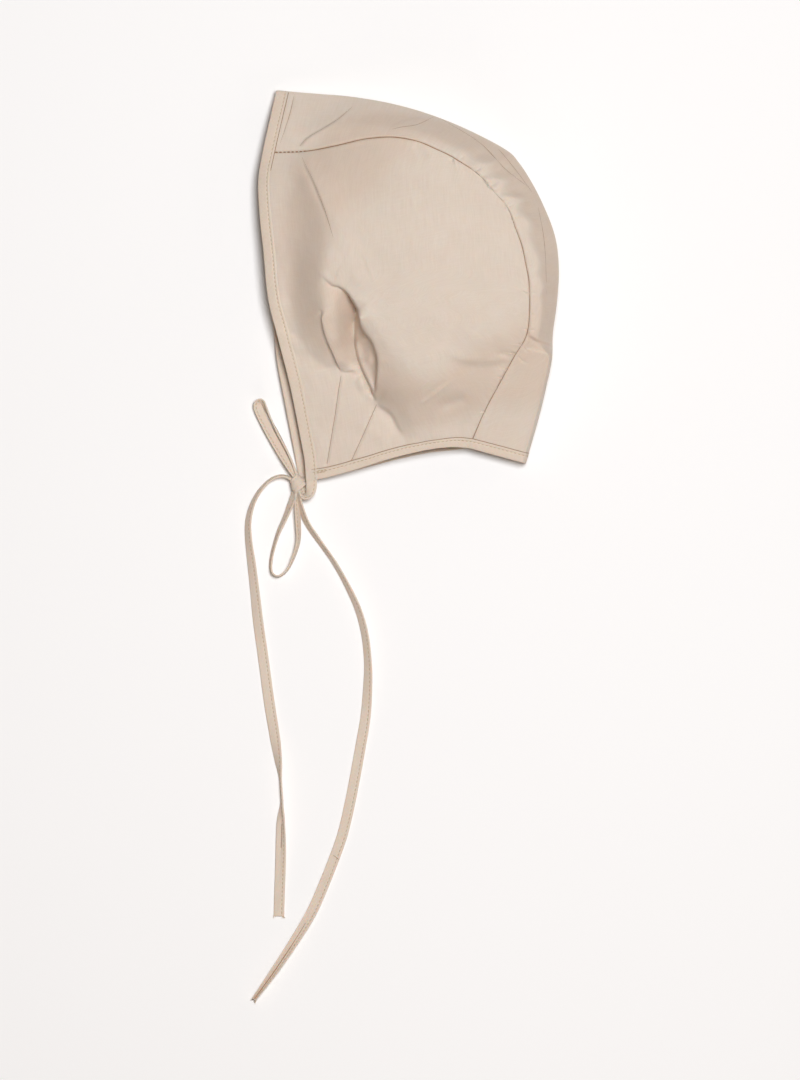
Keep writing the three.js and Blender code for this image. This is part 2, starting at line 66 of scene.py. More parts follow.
# The crown band, a row for each section from the face opening to the nape: x and y of the seam,
# x and y of the ridge, then the heights of the upper seam, of the ridge and of the lower seam
BAND_SECTIONS = [
    (-72.85, 66.5, -66, 97.4, 14, 7, 1.2),
    (-51.3, 67.1, -45.1, 95.6, 20, 10, 1.8),
    (-37.2, 69.5, -29.1, 94.2, 27, 13, 2.3),
    (-19.8, 73.2, -10.1, 91, 34, 16, 3),
    (-4.1, 73.4, 8.4, 86, 40, 18.5, 4),
    (15, 67.5, 29.9, 77.4, 44.5, 21, 5),
    (30, 58.6, 50.9, 65.9, 47, 23, 5),
    (34, 55.3, 54.5, 61.8, 47.5, 23.4, 5),
    (40, 49.7, 58.9, 55.5, 48, 24, 5),
    (48.4, 39, 66.6, 41.2, 48, 24, 5),
    (54.9, 24, 73.1, 24, 47, 24, 5),
    (59.4, 7, 74.9, 8, 46, 23, 5),
    (60.5, -9.5, 73.9, -9, 44, 22, 4.5),
    (58.9, -25, 71.9, -24.2, 40, 20, 4),
    (52.5, -36.3, 71.6, -36, 34, 17, 3),
    (44.5, -51, 68.6, -51, 27, 13.5, 2.5),
    (37.4, -64.5, 65.1, -65.5, 20, 10, 2),
    (30.4, -81.1, 58.4, -88.8, 13, 6.8, 1),
]

# The edges round the face and the neck on each side: x, y, z
FACE_EDGE = {
    "upper": [
        (-51.1, -97.7, 9), (-51.9, -87, 10), (-53.7, -77, 11.3), (-58, -55, 14),
        (-60.5, -44, 15.8), (-65.3, -25.5, 18.5), (-69.9, -7, 20), (-72.3, 17, 20),
        (-74.1, 34, 18.5), (-74.9, 53, 16), (-72.85, 66.5, 14),
    ],
    "lower": [
        (-54.6, -96.5, 0.7), (-58.2, -77, 3.6), (-62, -57, 5.6), (-65.7, -37, 5.8),
        (-66.9, -25.5, 5), (-69.1, -7, 3), (-71.1, 17, 1.6), (-72.8, 34, 1.4),
        (-73.8, 53, 1.2), (-72.85, 66.5, 1.2),
    ],
}
NECK_EDGE = {
    "upper": [
        (-51.1, -97.7, 9), (-40.5, -95.8, 10), (-24, -91.2, 12.5), (-9.1, -86.5, 14.8),
        (9.7, -82, 17.5), (20.9, -80.7, 17), (30.4, -81.1, 13),
    ],
    "lower": [
        (-54.6, -96.5, 0.7), (-40.5, -95.2, 0.7), (-24, -91.6, 0.7), (-9.1, -87.6, 0.8),
        (9.7, -83.5, 0.9), (20.9, -82.2, 1), (30.4, -81.1, 1),
    ],
}
# The lower panel's turn from its edges' heights to its flat height, as a share of the panel
LOWER_TURN = {"face": 0.2, "back": 0.16, "neck": 0.2, "top": 0.16}

# Gentle unevenness of each cloth: the height and size of its waves, and the draw they come from
UNEVEN = {
    "upper, broad": (0.22, 26, 7), "upper, fine": (0.07, 9, 8), "lower": (1.6, 45, 9), "band": (0.2, 24, 10),
}
SPOT_SPACING = 5              # between the spot heights read off a named line
EDGE_PULL = 0.1               # share of the upper panel over which its height turns to its edge's
FLAT_TURN = 0.3               # share of the way to the ridge, in turn, that the band's flat top takes
# How far each stays off the surface at its lowest
CLEAR = {"tape": 0.06, "stitches": 0.12, "loose thread": 0.15}

# The upper panel is read as a map: spot heights along named lines, x, y, z
HEIGHTS = {
    "crown crease, in front": [(-54.5, 64, 22), (-48.5, 51.3, 31.5), (-43.5, 38, 38), (-40, 25.5, 42.3)],
    "crown crease, behind": [(-51, 64, 23.5), (-44.5, 52, 34.5), (-39.5, 39, 40.8), (-35.5, 25, 44.3)],
    "front of the dome": [(-35, 60, 32.5), (-30, 45, 40.5), (-25, 30, 45), (-22, 15, 46.8), (-18, 4, 47.8)],
    "under the seam": [(-20, 64, 37), (-4, 62, 42.5), (12, 58, 46), (28, 48, 48), (40, 34, 48.5)],
    "top of the dome": [
        (0, 40, 47.5), (0, 20, 49), (20, 10, 49.5), (38, 0, 49), (10, -15, 48.6), (30, -25, 47.5),
        (-8, -10, 48.5),
    ],
    "behind the brow": [(-26, 2.5, 46.6), (-23.5, -2.5, 46.4), (-20, 5, 47.3)],
    "back of the dome": [(48, 10, 48), (50, -8, 46.5), (48, -25, 42.5)],
    "inside the face binding": [
        (-67.5, 53, 19.4), (-67.5, 34, 20.9), (-65.8, 17, 22.2), (-63.5, -5, 22), (-60, -20, 19.4),
    ],
    "neck slope, head": [(-2, -38, 45.2), (10, -36, 46.3), (22, -35, 45.6), (34, -35, 41.5), (44, -35, 37)],
    "neck slope, middle": [(-1, -50, 38.5), (10, -50, 40.2), (20, -50, 38.8), (30, -50, 34), (38, -50, 29.8)],
    "neck slope, foot": [(0, -66, 24.8), (10, -66, 26.4), (20, -66, 24.6), (28, -68, 20.2)],
    "lip of the pressed corner": [
        (-66, -26.5, 18), (-61.2, -28.4, 18.2), (-48.1, -35, 18.1), (-36, -42, 18.2), (-26.1, -42.5, 19.2),
        (-22, -50, 18.6), (-15.6, -58.5, 17.7), (-8.2, -64.5, 17.5), (-1.1, -76.1, 16.6),
    ],
    "below the lip": [
        (-64, -36, 9), (-52, -43, 9), (-38, -52, 8), (-26, -60, 8), (-18, -68, 8), (-11, -78, 8),
    ],
}
# The cheek slope, the tongue, the leaf and the rim of the dome, level by level: y, then x and z
LEVELS = {
    51: [(-61, 21.6), (-55, 25.3)],
    38: [(-61, 22.9), (-55.5, 26.5), (-49.5, 32)],
    26: [(-61, 23.5), (-56, 26.4), (-50.5, 31.3), (-45, 37.8)],
    14: [(-60.5, 24.3), (-56, 27), (-51, 33), (-46, 39.5), (-41, 44.3), (-35, 45.8)],
    3: [(-60.5, 23.5), (-56.5, 26), (-52, 31.5), (-47, 38.5), (-43.5, 42.6), (-39, 44.4), (-33, 45.6),
        (-27, 46.6)],
    -7: [(-59.5, 22), (-56, 24.8), (-51.5, 30.3), (-47, 36), (-43.5, 40.2), (-39.5, 41.8), (-36, 40.5),
         (-33, 37.3), (-30, 33.2), (-28, 30), (-25.2, 46.5), (-20, 47.1), (-12, 47.6)],
    -12: [(-36, 40.2), (-33, 36.8), (-30, 32.2), (-27.6, 28), (-25.6, 25.4), (-22.2, 46.7), (-18.5, 47)],
    -17: [(-57, 21), (-53, 24.8), (-48.5, 30), (-44.5, 34.3), (-42.6, 36), (-40, 40.3), (-37, 39.4),
          (-34, 35.8), (-31, 31), (-28.5, 26.6), (-26.6, 23.2), (-24.4, 32), (-20.8, 46.2), (-17.5, 46.8),
          (-11, 47.3)],
    -22: [(-36.5, 36.6), (-33.5, 33), (-30.5, 28), (-27.2, 22.2), (-24.4, 28.6), (-22.9, 30.6),
          (-19.2, 43.9)],
    -27: [(-55, 18.5), (-50, 22.3), (-45, 26), (-41, 29), (-39.7, 29.6), (-37.3, 34.8), (-35, 33.4),
          (-32, 28.5), (-29, 23.2), (-26, 18.2), (-24, 26.3), (-21.5, 30), (-19, 32), (-16, 43.2),
          (-12, 45), (-6, 46)],
    -37: [(-43, 19.3), (-38.5, 21.3), (-35.6, 22.3), (-33, 26.3), (-30.5, 23.6), (-28, 20), (-24.6, 15.5),
          (-22, 23.6), (-19.5, 27), (-16.2, 28.8), (-13, 41), (-10, 42.5), (-4, 44.6)],
    -45: [(-25, 16), (-21.8, 15.5), (-19, 22.4), (-16.4, 24.8), (-13, 35.6), (-10, 38), (-4, 41)],
    -53: [(-19, 15.5), (-14.2, 26.6), (-11, 30.2), (-5, 34)],
}
# The corner below the cheek lies pressed flat: its height at the corner and its two slopes
PRESSED = {"corner": (-51, -98), "height": 9.0, "along_x": 0.09, "along_y": 0.14, "blend": 0.8,
           "top": -25, "leans": 0.45, "back": 2, "falls": 0.7}

# Steps: the cloth to the right of the line, as one walks it, rises above that to its left. The
# columns are the rise, how sharp it is, how far it reaches to each side, how far the high side
# hangs over, and the shares of the line over which the step grows and dies.
STEP_COLUMNS = ("rise", "sharp", "left", "right", "hang", "grow", "die")
STEPS = [
    ("fold over the front dart",
     [(-33.3, -43.7), (-34, -39.1), (-36, -33.9), (-38.6, -28.2), (-40.6, -22.4), (-41.8, -16.1),
      (-42.6, -12.7), (-45.5, -11.3)],
     (5.8, 0.55, 5, 6, 1.8, 0.15, 0.22)),
    ("brow and the leaf's upper edge",
     [(-15.6, -58), (-15.1, -49.4), (-14.5, -43.6), (-14.5, -36.7), (-15.9, -31), (-17.9, -26.5),
      (-21.1, -23), (-22.9, -19), (-23.7, -15), (-24.3, -12), (-27, -7), (-30, -3), (-34.6, 0),
      (-37.4, 0.5), (-42.6, 4.5), (-48.3, 8)],
     (8.0, 0.55, 4, 6, 1.3, 0.14, 0.36)),
    ("brow, at its steepest",
     [(-21.5, -22.5), (-22.9, -19), (-23.7, -15), (-24.3, -12), (-27, -7), (-30, -3), (-33, -0.8)],
     (9.0, 0.5, 4, 4, 0, 0.3, 0.35)),
    ("leaf's lower edge",
     [(-15.6, -58), (-17.4, -52.3), (-19.7, -47.1), (-23.7, -37.9), (-25.4, -31), (-25.9, -24), (-26, -17.3)],
     (8.0, 0.6, 3, 3, 0.7, 0.12, 0.3)),
    ("lip towards the neck",
     [(-1.1, -76.1), (-5.3, -69), (-8.2, -63.8), (-15.6, -58.5)],
     (2.4, 1.2, 5, 6, 0.3, 0.3, 0.1)),
    ("end of the tongue",
     [(-25.5, -41.6), (-29, -42.4), (-33.3, -42.7)],
     (1.2, 0.6, 4, 5, 0.3, 0.3, 0.3)),
    ("crease under the crown",
     [(-37.3, 23.8), (-41.6, 38.1), (-46.8, 51.3), (-53.1, 64)],
     (2.1, 0.4, 3, 9, 0.4, 0.6, 0.15)),
    ("fold from the nape",
     [(57, -36.5), (46, -38), (34, -39), (22, -36.5), (12, -32)],
     (3.6, 2.4, 6, 7, 0, 0.12, 0.45)),
    ("faint crease",
     [(-16.6, -2), (-20, 8), (-26.6, 20.5)],
     (0.5, 0.4, 4, 4, 0, 0.5, 0.4)),
]

# Creases: a ridge, or a valley where the height is below 0, along a line
CREASE_COLUMNS = ("height", "width", "grow", "die")
DARTS = {
    "front": [(-40.8, -90.6), (-38.6, -77), (-36.4, -64), (-34.7, -51.7), (-33.4, -44.5)],
    "rear": [(-28.7, -88.1), (-21.9, -73.2), (-15.6, -58.8)],
}
CREASES = [
    ("front dart", DARTS["front"], (-0.6, 0.75, 0.04, 0.1)),
    ("rear dart", DARTS["rear"], (-0.6, 0.75, 0.04, 0.1)),
    ("puff under the seam", [(3, 71), (6.5, 66), (12, 64)], (-0.8, 2.0, 0.3, 0.4)),
    ("back crease, high", [(4.6, -53), (8.5, -49.3), (13, -45.6)], (0.4, 0.7, 0.3, 0.4)),
    ("back crease, low", [(5.4, -60), (14, -53.5), (24, -45.5)], (0.6, 0.8, 0.15, 0.35)),
    ("back crease, shade", [(4.6, -58), (13, -51.9), (23, -45.4)], (-0.4, 1.3, 0.3, 0.4)),
    ("short fold from the nape", [(58, -34.8), (50, -34.2), (41, -33.2)], (-1.1, 1.6, 0.1, 0.5)),
    ("soft fold under it", [(31, -56.5), (22, -58), (11, -61.5)], (-1.3, 3.0, 0.2, 0.4)),
    ("pressed corner, soft fold", [(-30, -66), (-20, -72), (-8, -80)], (0.5, 3.0, 0.3, 0.4)),
]

# Small tucks across the seam: its place on the seam, then how far it runs into the panel and
# into the band, and how deep it is
PUCKERS = [
    (17, 67, 3, 0, 0.5), (23, 63.8, 5, 2, 0.7), (26.4, 63.5, 2, 6, 0.6), (33, 56, 0, 5, 0.5),
    (41, 49, 2, 4, 0.6), (50, 39.5, 2, 6, 0.8), (52.8, 33, 2, 6, 0.8), (54.8, 29, 1, 5, 0.5),
    (57, 16, 2, 5, 0.6), (59, 8, 0, 4, 0.5), (60.2, -4, 2, 5, 0.6), (60, -14, 0, 5, 0.5),
    (58.8, -22, 3, 5, 0.7), (58, -31, 3, 7, 0.7), (55, -35, 4, 9, 0.9), (50.3, -42.5, 2, 4, 0.7),
    (48, -46.5, 3, 5, 0.8), (45.3, -52, 2, 4, 0.6), (43, -55, 0, 4, 0.6), (38.5, -63, 4, 3, 0.7),
    (35, -70, 2, 4, 0.6),
]

# The crown band's steps and creases, as above
BAND_SHOULDER = {"width": 5.9, "scallop": 2.0, "front": 0.4, "nape": 0.95, "round": 0.13, "proud": 0.7,
                 "waves": 0.33}
BAND_STEPS = [
    ("forehead fold", [(-54.2, 68.6), (-50.6, 73.1), (-42.6, 78), (-35.1, 82.7), (-30.1, 87), (-27, 90)],
     (1.8, 0.4, 7, 3, 0, 0.1, 0.4)),
    ("crown pleat, long", [(15, 84), (28, 77), (36, 70.5), (49, 57), (60.5, 48.5)],
     (0.9, 0.3, 2.5, 2.5, 0, 0.3, 0.2)),
    ("crown pleat, short", [(44.4, 68.5), (52.9, 58), (62.4, 45.5)], (0.9, 0.3, 2.5, 2.5, 0, 0.3, 0.2)),
    ("back pleat", [(64.4, 40), (67.5, 22), (68.9, -7)], (0.8, 0.3, 2.5, 2.5, 0, 0.3, 0.4)),
    ("crown fold", [(-11.6, 77.5), (-2, 81.5), (12.4, 84.5)], (1.4, 0.6, 6, 3, 0, 0.3, 0.3)),
    ("back buckle", [(71.5, -30.2), (64, -27.2), (57, -22.8)], (3.2, 0.7, 4, 6, 0, 0.1, 0.4)),
    ("back buckle, under", [(56.5, -30.4), (63, -32.4), (72, -33.6)], (1.6, 0.6, 3, 4, 0, 0.35, 0.1)),
]
BAND_CREASES = [
    ("forehead facing", [(-56.7, 96.1), (-60.4, 82), (-63.7, 70.9)], (-0.35, 0.6, 0.05, 0.25)),
]

# The sharpest creases, each a fine dark line of painted shade in its valley: x and y, the lift off the cloth,
# radius
FINE_CREASES = {
    "crown_front": ([(-53, 64), (-46.8, 51.3), (-41.6, 38.1), (-37.3, 23.8)], 0.01, 0.15),
    "band_facing": ([(-56.8, 95.8), (-59.1, 85.5), (-63.8, 71.2)], 0.02, 0.11),
    "band_forehead": (
        [(-55.6, 67.6), (-50.6, 73.1), (-42.6, 78), (-35.1, 82.7), (-30.1, 87), (-28, 89)], -0.01, 0.11),
    "band_crown": ([(-8, 77.6), (-4, 78.5), (4.3, 79.9), (12.8, 84.1)], 0.0, 0.13),
    "band_long": ([(16, 83.2), (36, 70.5), (49, 57), (60, 48.8)], 0.01, 0.14),
    "band_short": ([(45, 67.8), (52.9, 58), (61.6, 46.3)], 0.01, 0.14),
    "band_back": ([(64.6, 39), (67.5, 22), (68.8, -4)], 0.0, 0.13),
}


def rows(table):
    return np.array(table, dtype=float)


class Curve:
    """A centripetal Catmull-Rom curve through a table's rows."""

    def __init__(self, points):
        points = rows(points)
        before = 2 * points[0] - points[1]
        after = 2 * points[-1] - points[-2]
        self.points = np.vstack([before, points, after])
        self.count = len(points) - 1

    def __call__(self, share):
        place = np.clip(np.asarray(share, float), 0, 1) * self.count
        first = np.minimum(place.astype(int), self.count - 1)
        t = (place - first)[..., None]
        p0, p1, p2, p3 = (self.points[first + k] for k in range(4))
        d0, d1, d2 = (np.maximum(np.sqrt(np.linalg.norm(b - a, axis=-1)), 1e-6)[..., None]
                      for a, b in ((p0, p1), (p1, p2), (p2, p3)))
        m1 = ((p1 - p0) / d0 - (p2 - p0) / (d0 + d1) + (p2 - p1) / d1) * d1
        m2 = ((p2 - p1) / d1 - (p3 - p1) / (d1 + d2) + (p3 - p2) / d2) * d1
        return (p1 + m1 * t + (3 * (p2 - p1) - 2 * m1 - m2) * t ** 2
                + (2 * (p1 - p2) + m1 + m2) * t ** 3)


def smooth(x):
    x = np.clip(x, 0, 1)
    return x * x * (3 - 2 * x)


def inside(share, start, end):
    """1 well inside a piece, easing to 0 at both ends over these shares of it."""
    return smooth(share / start) * smooth((1 - share) / end)


def within(share, low, high, ease):
    """1 between two shares, easing to 0 at each of them."""
    return smooth((share - low) / ease) * smooth((high - share) / ease)


def unit(vectors):
    return vectors / np.maximum(np.linalg.norm(vectors, axis=-1, keepdims=True), 1e-9)


def run_of(points):
    """How far along a line each of its points lies, in millimetres."""
    return np.concatenate([[0], np.cumsum(np.linalg.norm(np.diff(points, axis=0), axis=1))])


def read_at(spots, steps, table):
    """A table's columns, read off at the spots between its steps."""
    return np.stack([np.interp(spots, steps, column) for column in table.T], axis=-1)


def relaxed(points, passes):
    """Evens a line or strip out along its length, ends fixed."""
    for _ in range(passes):
        points[1:-1] = 0.25 * points[:-2] + 0.5 * points[1:-1] + 0.25 * points[2:]
    return points


def beside(x, y, line, samples=40):
    """Signed distance to a line in plan, positive to the right of the walk, and the share
    of the line's length at the nearest place."""
    points = Curve(line)(np.linspace(0, 1, samples))[:, :2]
    best = np.full(x.shape, 1e9)
    signed = np.zeros(x.shape)
    along = np.zeros(x.shape)
    steps = np.linalg.norm(np.diff(points, axis=0), axis=1)
    start = np.concatenate([[0], np.cumsum(steps)]) / steps.sum()
    for k in range(samples - 1):
        ax, ay = points[k]
        dx, dy = points[k + 1] - points[k]
        t = np.clip(((x - ax) * dx + (y - ay) * dy) / (dx * dx + dy * dy), 0, 1)
        ox, oy = x - ax - t * dx, y - ay - t * dy
        far = np.hypot(ox, oy)
        near = far < best
        best = np.where(near, far, best)
        signed = np.where(near, np.where(dy * ox - dx * oy >= 0, far, -far), signed)
        along = np.where(near, start[k] + t * (start[k + 1] - start[k]), along)
    return signed, along


def close_to(x, y, line, reach):
    """Which places lie in a line's box, widened by a reach."""
    low, high = rows(line)[:, :2].min(axis=0) - reach, rows(line)[:, :2].max(axis=0) + reach
    return (x > low[0]) & (x < high[0]) & (y > low[1]) & (y < high[1])


def creased(x, y, table):
    """The height that a table of creases gives each place."""
    height = np.zeros(x.shape)
    for _, line, values in table:
        fold = dict(zip(CREASE_COLUMNS, values))
        near = close_to(x, y, line, 4 * fold["width"])
        if near.any():
            signed, along = beside(x[near], y[near], line, 14 if len(line) == 3 else 40)
            ends = inside(along, fold["grow"], fold["die"])
            height[near] += fold["height"] * np.exp(-(signed / fold["width"]) ** 2) * ends
    return height


def stepped(x, y, table):
    """The height and the sideways shift, in plan, that a table of steps gives each place."""
    height = np.zeros(x.shape)
    shift = np.zeros(x.shape + (2,))
    for _, line, values in table:
        fold = dict(zip(STEP_COLUMNS, values))
        signed, along = beside(x, y, line)
        reach = np.where(signed < 0, fold["left"], fold["right"])
        ends = inside(along, fold["grow"], fold["die"])
        height += fold["rise"] / 2 * np.tanh(signed / fold["sharp"]) * np.exp(-np.abs(signed) / reach) * ends
        if fold["hang"]:
            near = fold["hang"] * np.exp(-((signed - 0.8) / 1.6) ** 2) * ends
            ahead = Curve(line)(np.clip(along + 0.04, 0, 1)) - Curve(line)(np.clip(along - 0.04, 0, 1))
            run = unit(ahead[..., :2])
            shift[..., 0] -= near * run[..., 1]
            shift[..., 1] += near * run[..., 0]
    return height, shift


class Map:
    """A smooth surface over the plan through spot heights: a thin-plate spline."""

    def __init__(self, spots, ease=1.0):
        self.places = spots[:, :2]
        count = len(spots)
        gaps = np.linalg.norm(self.places[:, None] - self.places[None], axis=-1)
        plan = np.hstack([np.ones((count, 1)), self.places])
        system = np.zeros((count + 3, count + 3))
        system[:count, :count] = self.bend(gaps) + ease * np.eye(count)
        system[:count, count:] = plan
        system[count:, :count] = plan.T
        self.weights = np.linalg.solve(system, np.concatenate([spots[:, 2], np.zeros(3)]))

    @staticmethod
    def bend(gaps):
        return gaps ** 2 * np.log(np.maximum(gaps, 1e-6))

    def __call__(self, x, y):
        total = self.weights[-3] + self.weights[-2] * x + self.weights[-1] * y
        for (px, py), weight in zip(self.places, self.weights):
            total = total + weight * self.bend(np.hypot(x - px, y - py))
        return total


def ripple(x, y, size, seed, waves=9):
    """Gentle unevenness: a few sine waves in seeded directions, about one in height."""
    draw = random.Random(seed)
    total = np.zeros(x.shape)
    for _ in range(waves):
        angle = draw.uniform(0, math.pi)
        pitch = size * draw.uniform(0.6, 1.7)
        phase = draw.uniform(0, 2 * math.pi)
        total += np.sin((x * math.cos(angle) + y * math.sin(angle)) * 2 * math.pi / pitch + phase)
    return total / math.sqrt(waves)


def uneven(name, x, y):
    """A cloth's unevenness over its plan."""
    height, size, seed = UNEVEN[name]
    return height * ripple(x, y, size, seed)


sections = rows(BAND_SECTIONS)
seam_line = Curve(sections[:, [0, 1, 4]])
ridge = Curve(sections[:, [2, 3, 5]])
lower_seam = Curve(sections[:, [0, 1, 6]])
SEAM_SHARES = np.linspace(0, 1, 1200)
SEAM_RUN = run_of(seam_line(SEAM_SHARES))


def seam_run(s):
    """How far along the seam a share lies, in millimetres."""
    return np.interp(s, SEAM_SHARES, SEAM_RUN)


def upper_seam(s):
    """The seam that shows, drawn up a little by its stitches where the band is eased in."""
    s = np.asarray(s, float)
    points = seam_line(s)
    length = seam_run(s)
    draw = 0.30 * np.sin(length / 7.9 + 2.1 * np.sin(length / 19)) + 0.2 * np.sin(length / 3.1)
    points[..., :2] += (0.7 * draw * within(s, 0.2, 0.72, 0.1))[..., None]
    return points


def side_panel(side, seam, u, v, height=None, turn=None):
    """A side panel between face edge, neck edge and seam: u runs to the back, v to the crown.
    In plan it is a straight blend of its edges. A height is blended from the edges inwards."""
    face = Curve(FACE_EDGE[side])
    neck = Curve(NECK_EDGE[side])
    left, right = face(v), seam(1 - (1 - SHOULDER) * v)
    bottom, top = neck(u), seam(SHOULDER * u)
    corner = {"fn": face(0.0), "bn": seam(1.0), "ft": seam(0.0), "bt": seam(SHOULDER)}

    def blend(axis, offset, f, b, n, t):
        return (offset + f * (left[..., axis] - offset) + b * (right[..., axis] - offset)
                + n * (bottom[..., axis] - offset) + t * (top[..., axis] - offset)
                - f * n * (corner["fn"][axis] - offset) - b * n * (corner["bn"][axis] - offset)
                - f * t * (corner["ft"][axis] - offset) - b * t * (corner["bt"][axis] - offset))

    x = blend(0, 0, 1 - u, u, 1 - v, v)
    y = blend(1, 0, 1 - u, u, 1 - v, v)
    if turn:
        z = blend(2, FLOOR_PANEL, 1 - smooth(u / turn["face"]), 1 - smooth((1 - u) / turn["back"]),
                  1 - smooth(v / turn["neck"]), 1 - smooth((1 - v) / turn["top"]))
        return np.stack([x, y, z], axis=-1)
    z = height(x, y)
    for edge, nearness in ((left, 1 - u), (right, u), (bottom, 1 - v), (top, v)):
        off = edge[..., 2] - height(edge[..., 0], edge[..., 1])
        z = z + off * smooth((nearness - 1) / EDGE_PULL + 1)
    return np.stack([x, y, z], axis=-1)


def dome_spots():
    """Spot heights of the upper panel without its folds: the named lines, the levels and the
    edges that they run up to."""
    spots = []
    for line in HEIGHTS.values():
        count = max(len(line), int(run_of(rows(line))[-1] / SPOT_SPACING))
        spots.append(Curve(line)(np.linspace(0, 1, count)))
    for y, level in LEVELS.items():
        spots.append(rows([(x, y, z) for x, z in level]))
    spots = np.vstack(spots)
    folds, _ = stepped(spots[:, 0], spots[:, 1], STEPS)
    spots[:, 2] -= folds + creased(spots[:, 0], spots[:, 1], CREASES)
    face = Curve(FACE_EDGE["upper"])(np.linspace(0, 1, 60))
    neck = Curve(NECK_EDGE["upper"])(np.linspace(0, 1, 40))
    seam = upper_seam(np.linspace(0, 1, 60))
    return np.vstack([spots, face[face[:, 1] > -22][::2], neck[neck[:, 0] > 4][::2], seam[::2]])


def puckers(side):
    """The small tucks across the seam as creases, on the panel's side (-1) or the band's (1)."""
    creases = []
    shares = np.linspace(0, 1, 600)
    line = seam_line(shares)[:, :2]
    for x, y, into_panel, into_band, depth in PUCKERS:
        near = int(np.argmin((line[:, 0] - x) ** 2 + (line[:, 1] - y) ** 2))
        near = min(max(near, 2), len(line) - 3)
        along = unit(line[near + 2] - line[near - 2])
        out = np.array([-along[1], along[0]]) * side
        length = into_band if side > 0 else into_panel
        if length:
            bend = along * 0.12 * length * math.sin(x + y)
            stops = [line[near], line[near] + out * length / 2 + bend, line[near] + out * length]
            creases.append(("tuck", [tuple(stop) for stop in stops], (-depth, 0.55, 0.02, 0.75)))
    return creases


PANEL_PUCKERS, BAND_PUCKERS = puckers(-1), puckers(1)
dome = Map(dome_spots())


def pressed_corner(x, y):
    x0, y0 = PRESSED["corner"]
    top = PRESSED["top"] - PRESSED["leans"] * (x + 60)
    beyond = np.maximum(y - top, 0) + np.maximum(x - PRESSED["back"], 0)
    return (PRESSED["height"] + PRESSED["along_x"] * (x - x0) + PRESSED["along_y"] * (y - y0)
            - PRESSED["falls"] * beyond)


def upper_height(x, y):
    """The dome, or the pressed corner where that is higher, with the folds."""
    high, low = dome(x, y), pressed_corner(x, y)
    gap = (high - low) / PRESSED["blend"]
    z = low + PRESSED["blend"] * (np.log1p(np.exp(-np.abs(gap))) + np.maximum(gap, 0))
    steps, _ = stepped(x, y, STEPS)
    return z + steps + creased(x, y, CREASES + PANEL_PUCKERS)


def upper_panel(u, v):
    points = side_panel("upper", upper_seam, u, v, height=upper_height)
    x, y = points[..., 0], points[..., 1]
    inner = inside(u, 0.06, 0.03) * inside(v, 0.05, 0.03)
    _, shift = stepped(x, y, STEPS)
    points[..., :2] += shift * inner[..., None]
    points[..., 2] += (uneven("upper, broad", x, y) + uneven("upper, fine", x, y)) * inner
    return points


def lower_panel(u, v):
    points = side_panel("lower", lower_seam, u, v, turn=LOWER_TURN)
    puffs = np.maximum(uneven("lower", points[..., 0], points[..., 1]), 0)
    points[..., 2] += puffs * inside(u, 0.3, 0.3) * inside(v, 0.3, 0.3)
    return points


def shouldered(t, wide):
    """A section that runs flat over the width of the shoulder, then straight down to the
    ridge: shares across and up."""
    rest = (t - FLAT_TURN) / (1 - FLAT_TURN)
    across = np.where(t < FLAT_TURN, wide * t / FLAT_TURN, wide + (1 - wide) * rest)
    edge = BAND_SHOULDER["round"]

    def drop(x):
        return (x + np.sqrt(x * x + edge * edge)) / (1 + math.sqrt(1 + edge * edge))

    start = drop(-wide / (1 - wide))
    return across, 1 - (drop((across - wide) / (1 - wide)) - start) / (1 - start)


def shoulder_width(s, reach):
    """The flat top beside the seam, as a share of the reach out to the ridge. It is scalloped
    where the band is gathered, narrow in front and nearly all of the band at the nape."""
    length = seam_run(s)
    scallop = np.sin(length / 12.5 * 2 * np.pi + 1.9 * np.sin(length / 17) + 0.8 * np.sin(length / 7.3))
    calm = 1 - 0.5 * smooth((s - 0.5) / 0.15)
    scallop = BAND_SHOULDER["scallop"] * scallop * within(s, 0.28, 0.74, 0.1) * calm
    wide = (BAND_SHOULDER["width"] + scallop) / reach
    wide = wide + (BAND_SHOULDER["front"] - wide) * smooth((0.24 - s) / 0.1)
    return wide + (BAND_SHOULDER["nape"] - wide) * smooth((s - 0.76) / 0.07)


def gathers(s, away):
    """The small waves that the gathering makes in the band, dying away from the seam."""
    length = seam_run(s)
    waves = np.sin(length / 6.3 * 2 * np.pi + 3.1 * np.sin(length / 23) + 1.3 * np.sin(length / 9.1))
    waves = waves * (1 + 0.7 * np.sin(length / 14.7)) * smooth(away / 0.8)
    return BAND_SHOULDER["waves"] * waves * np.exp(-(away / 4) ** 2) * within(s, 0.3, 0.72, 0.12)


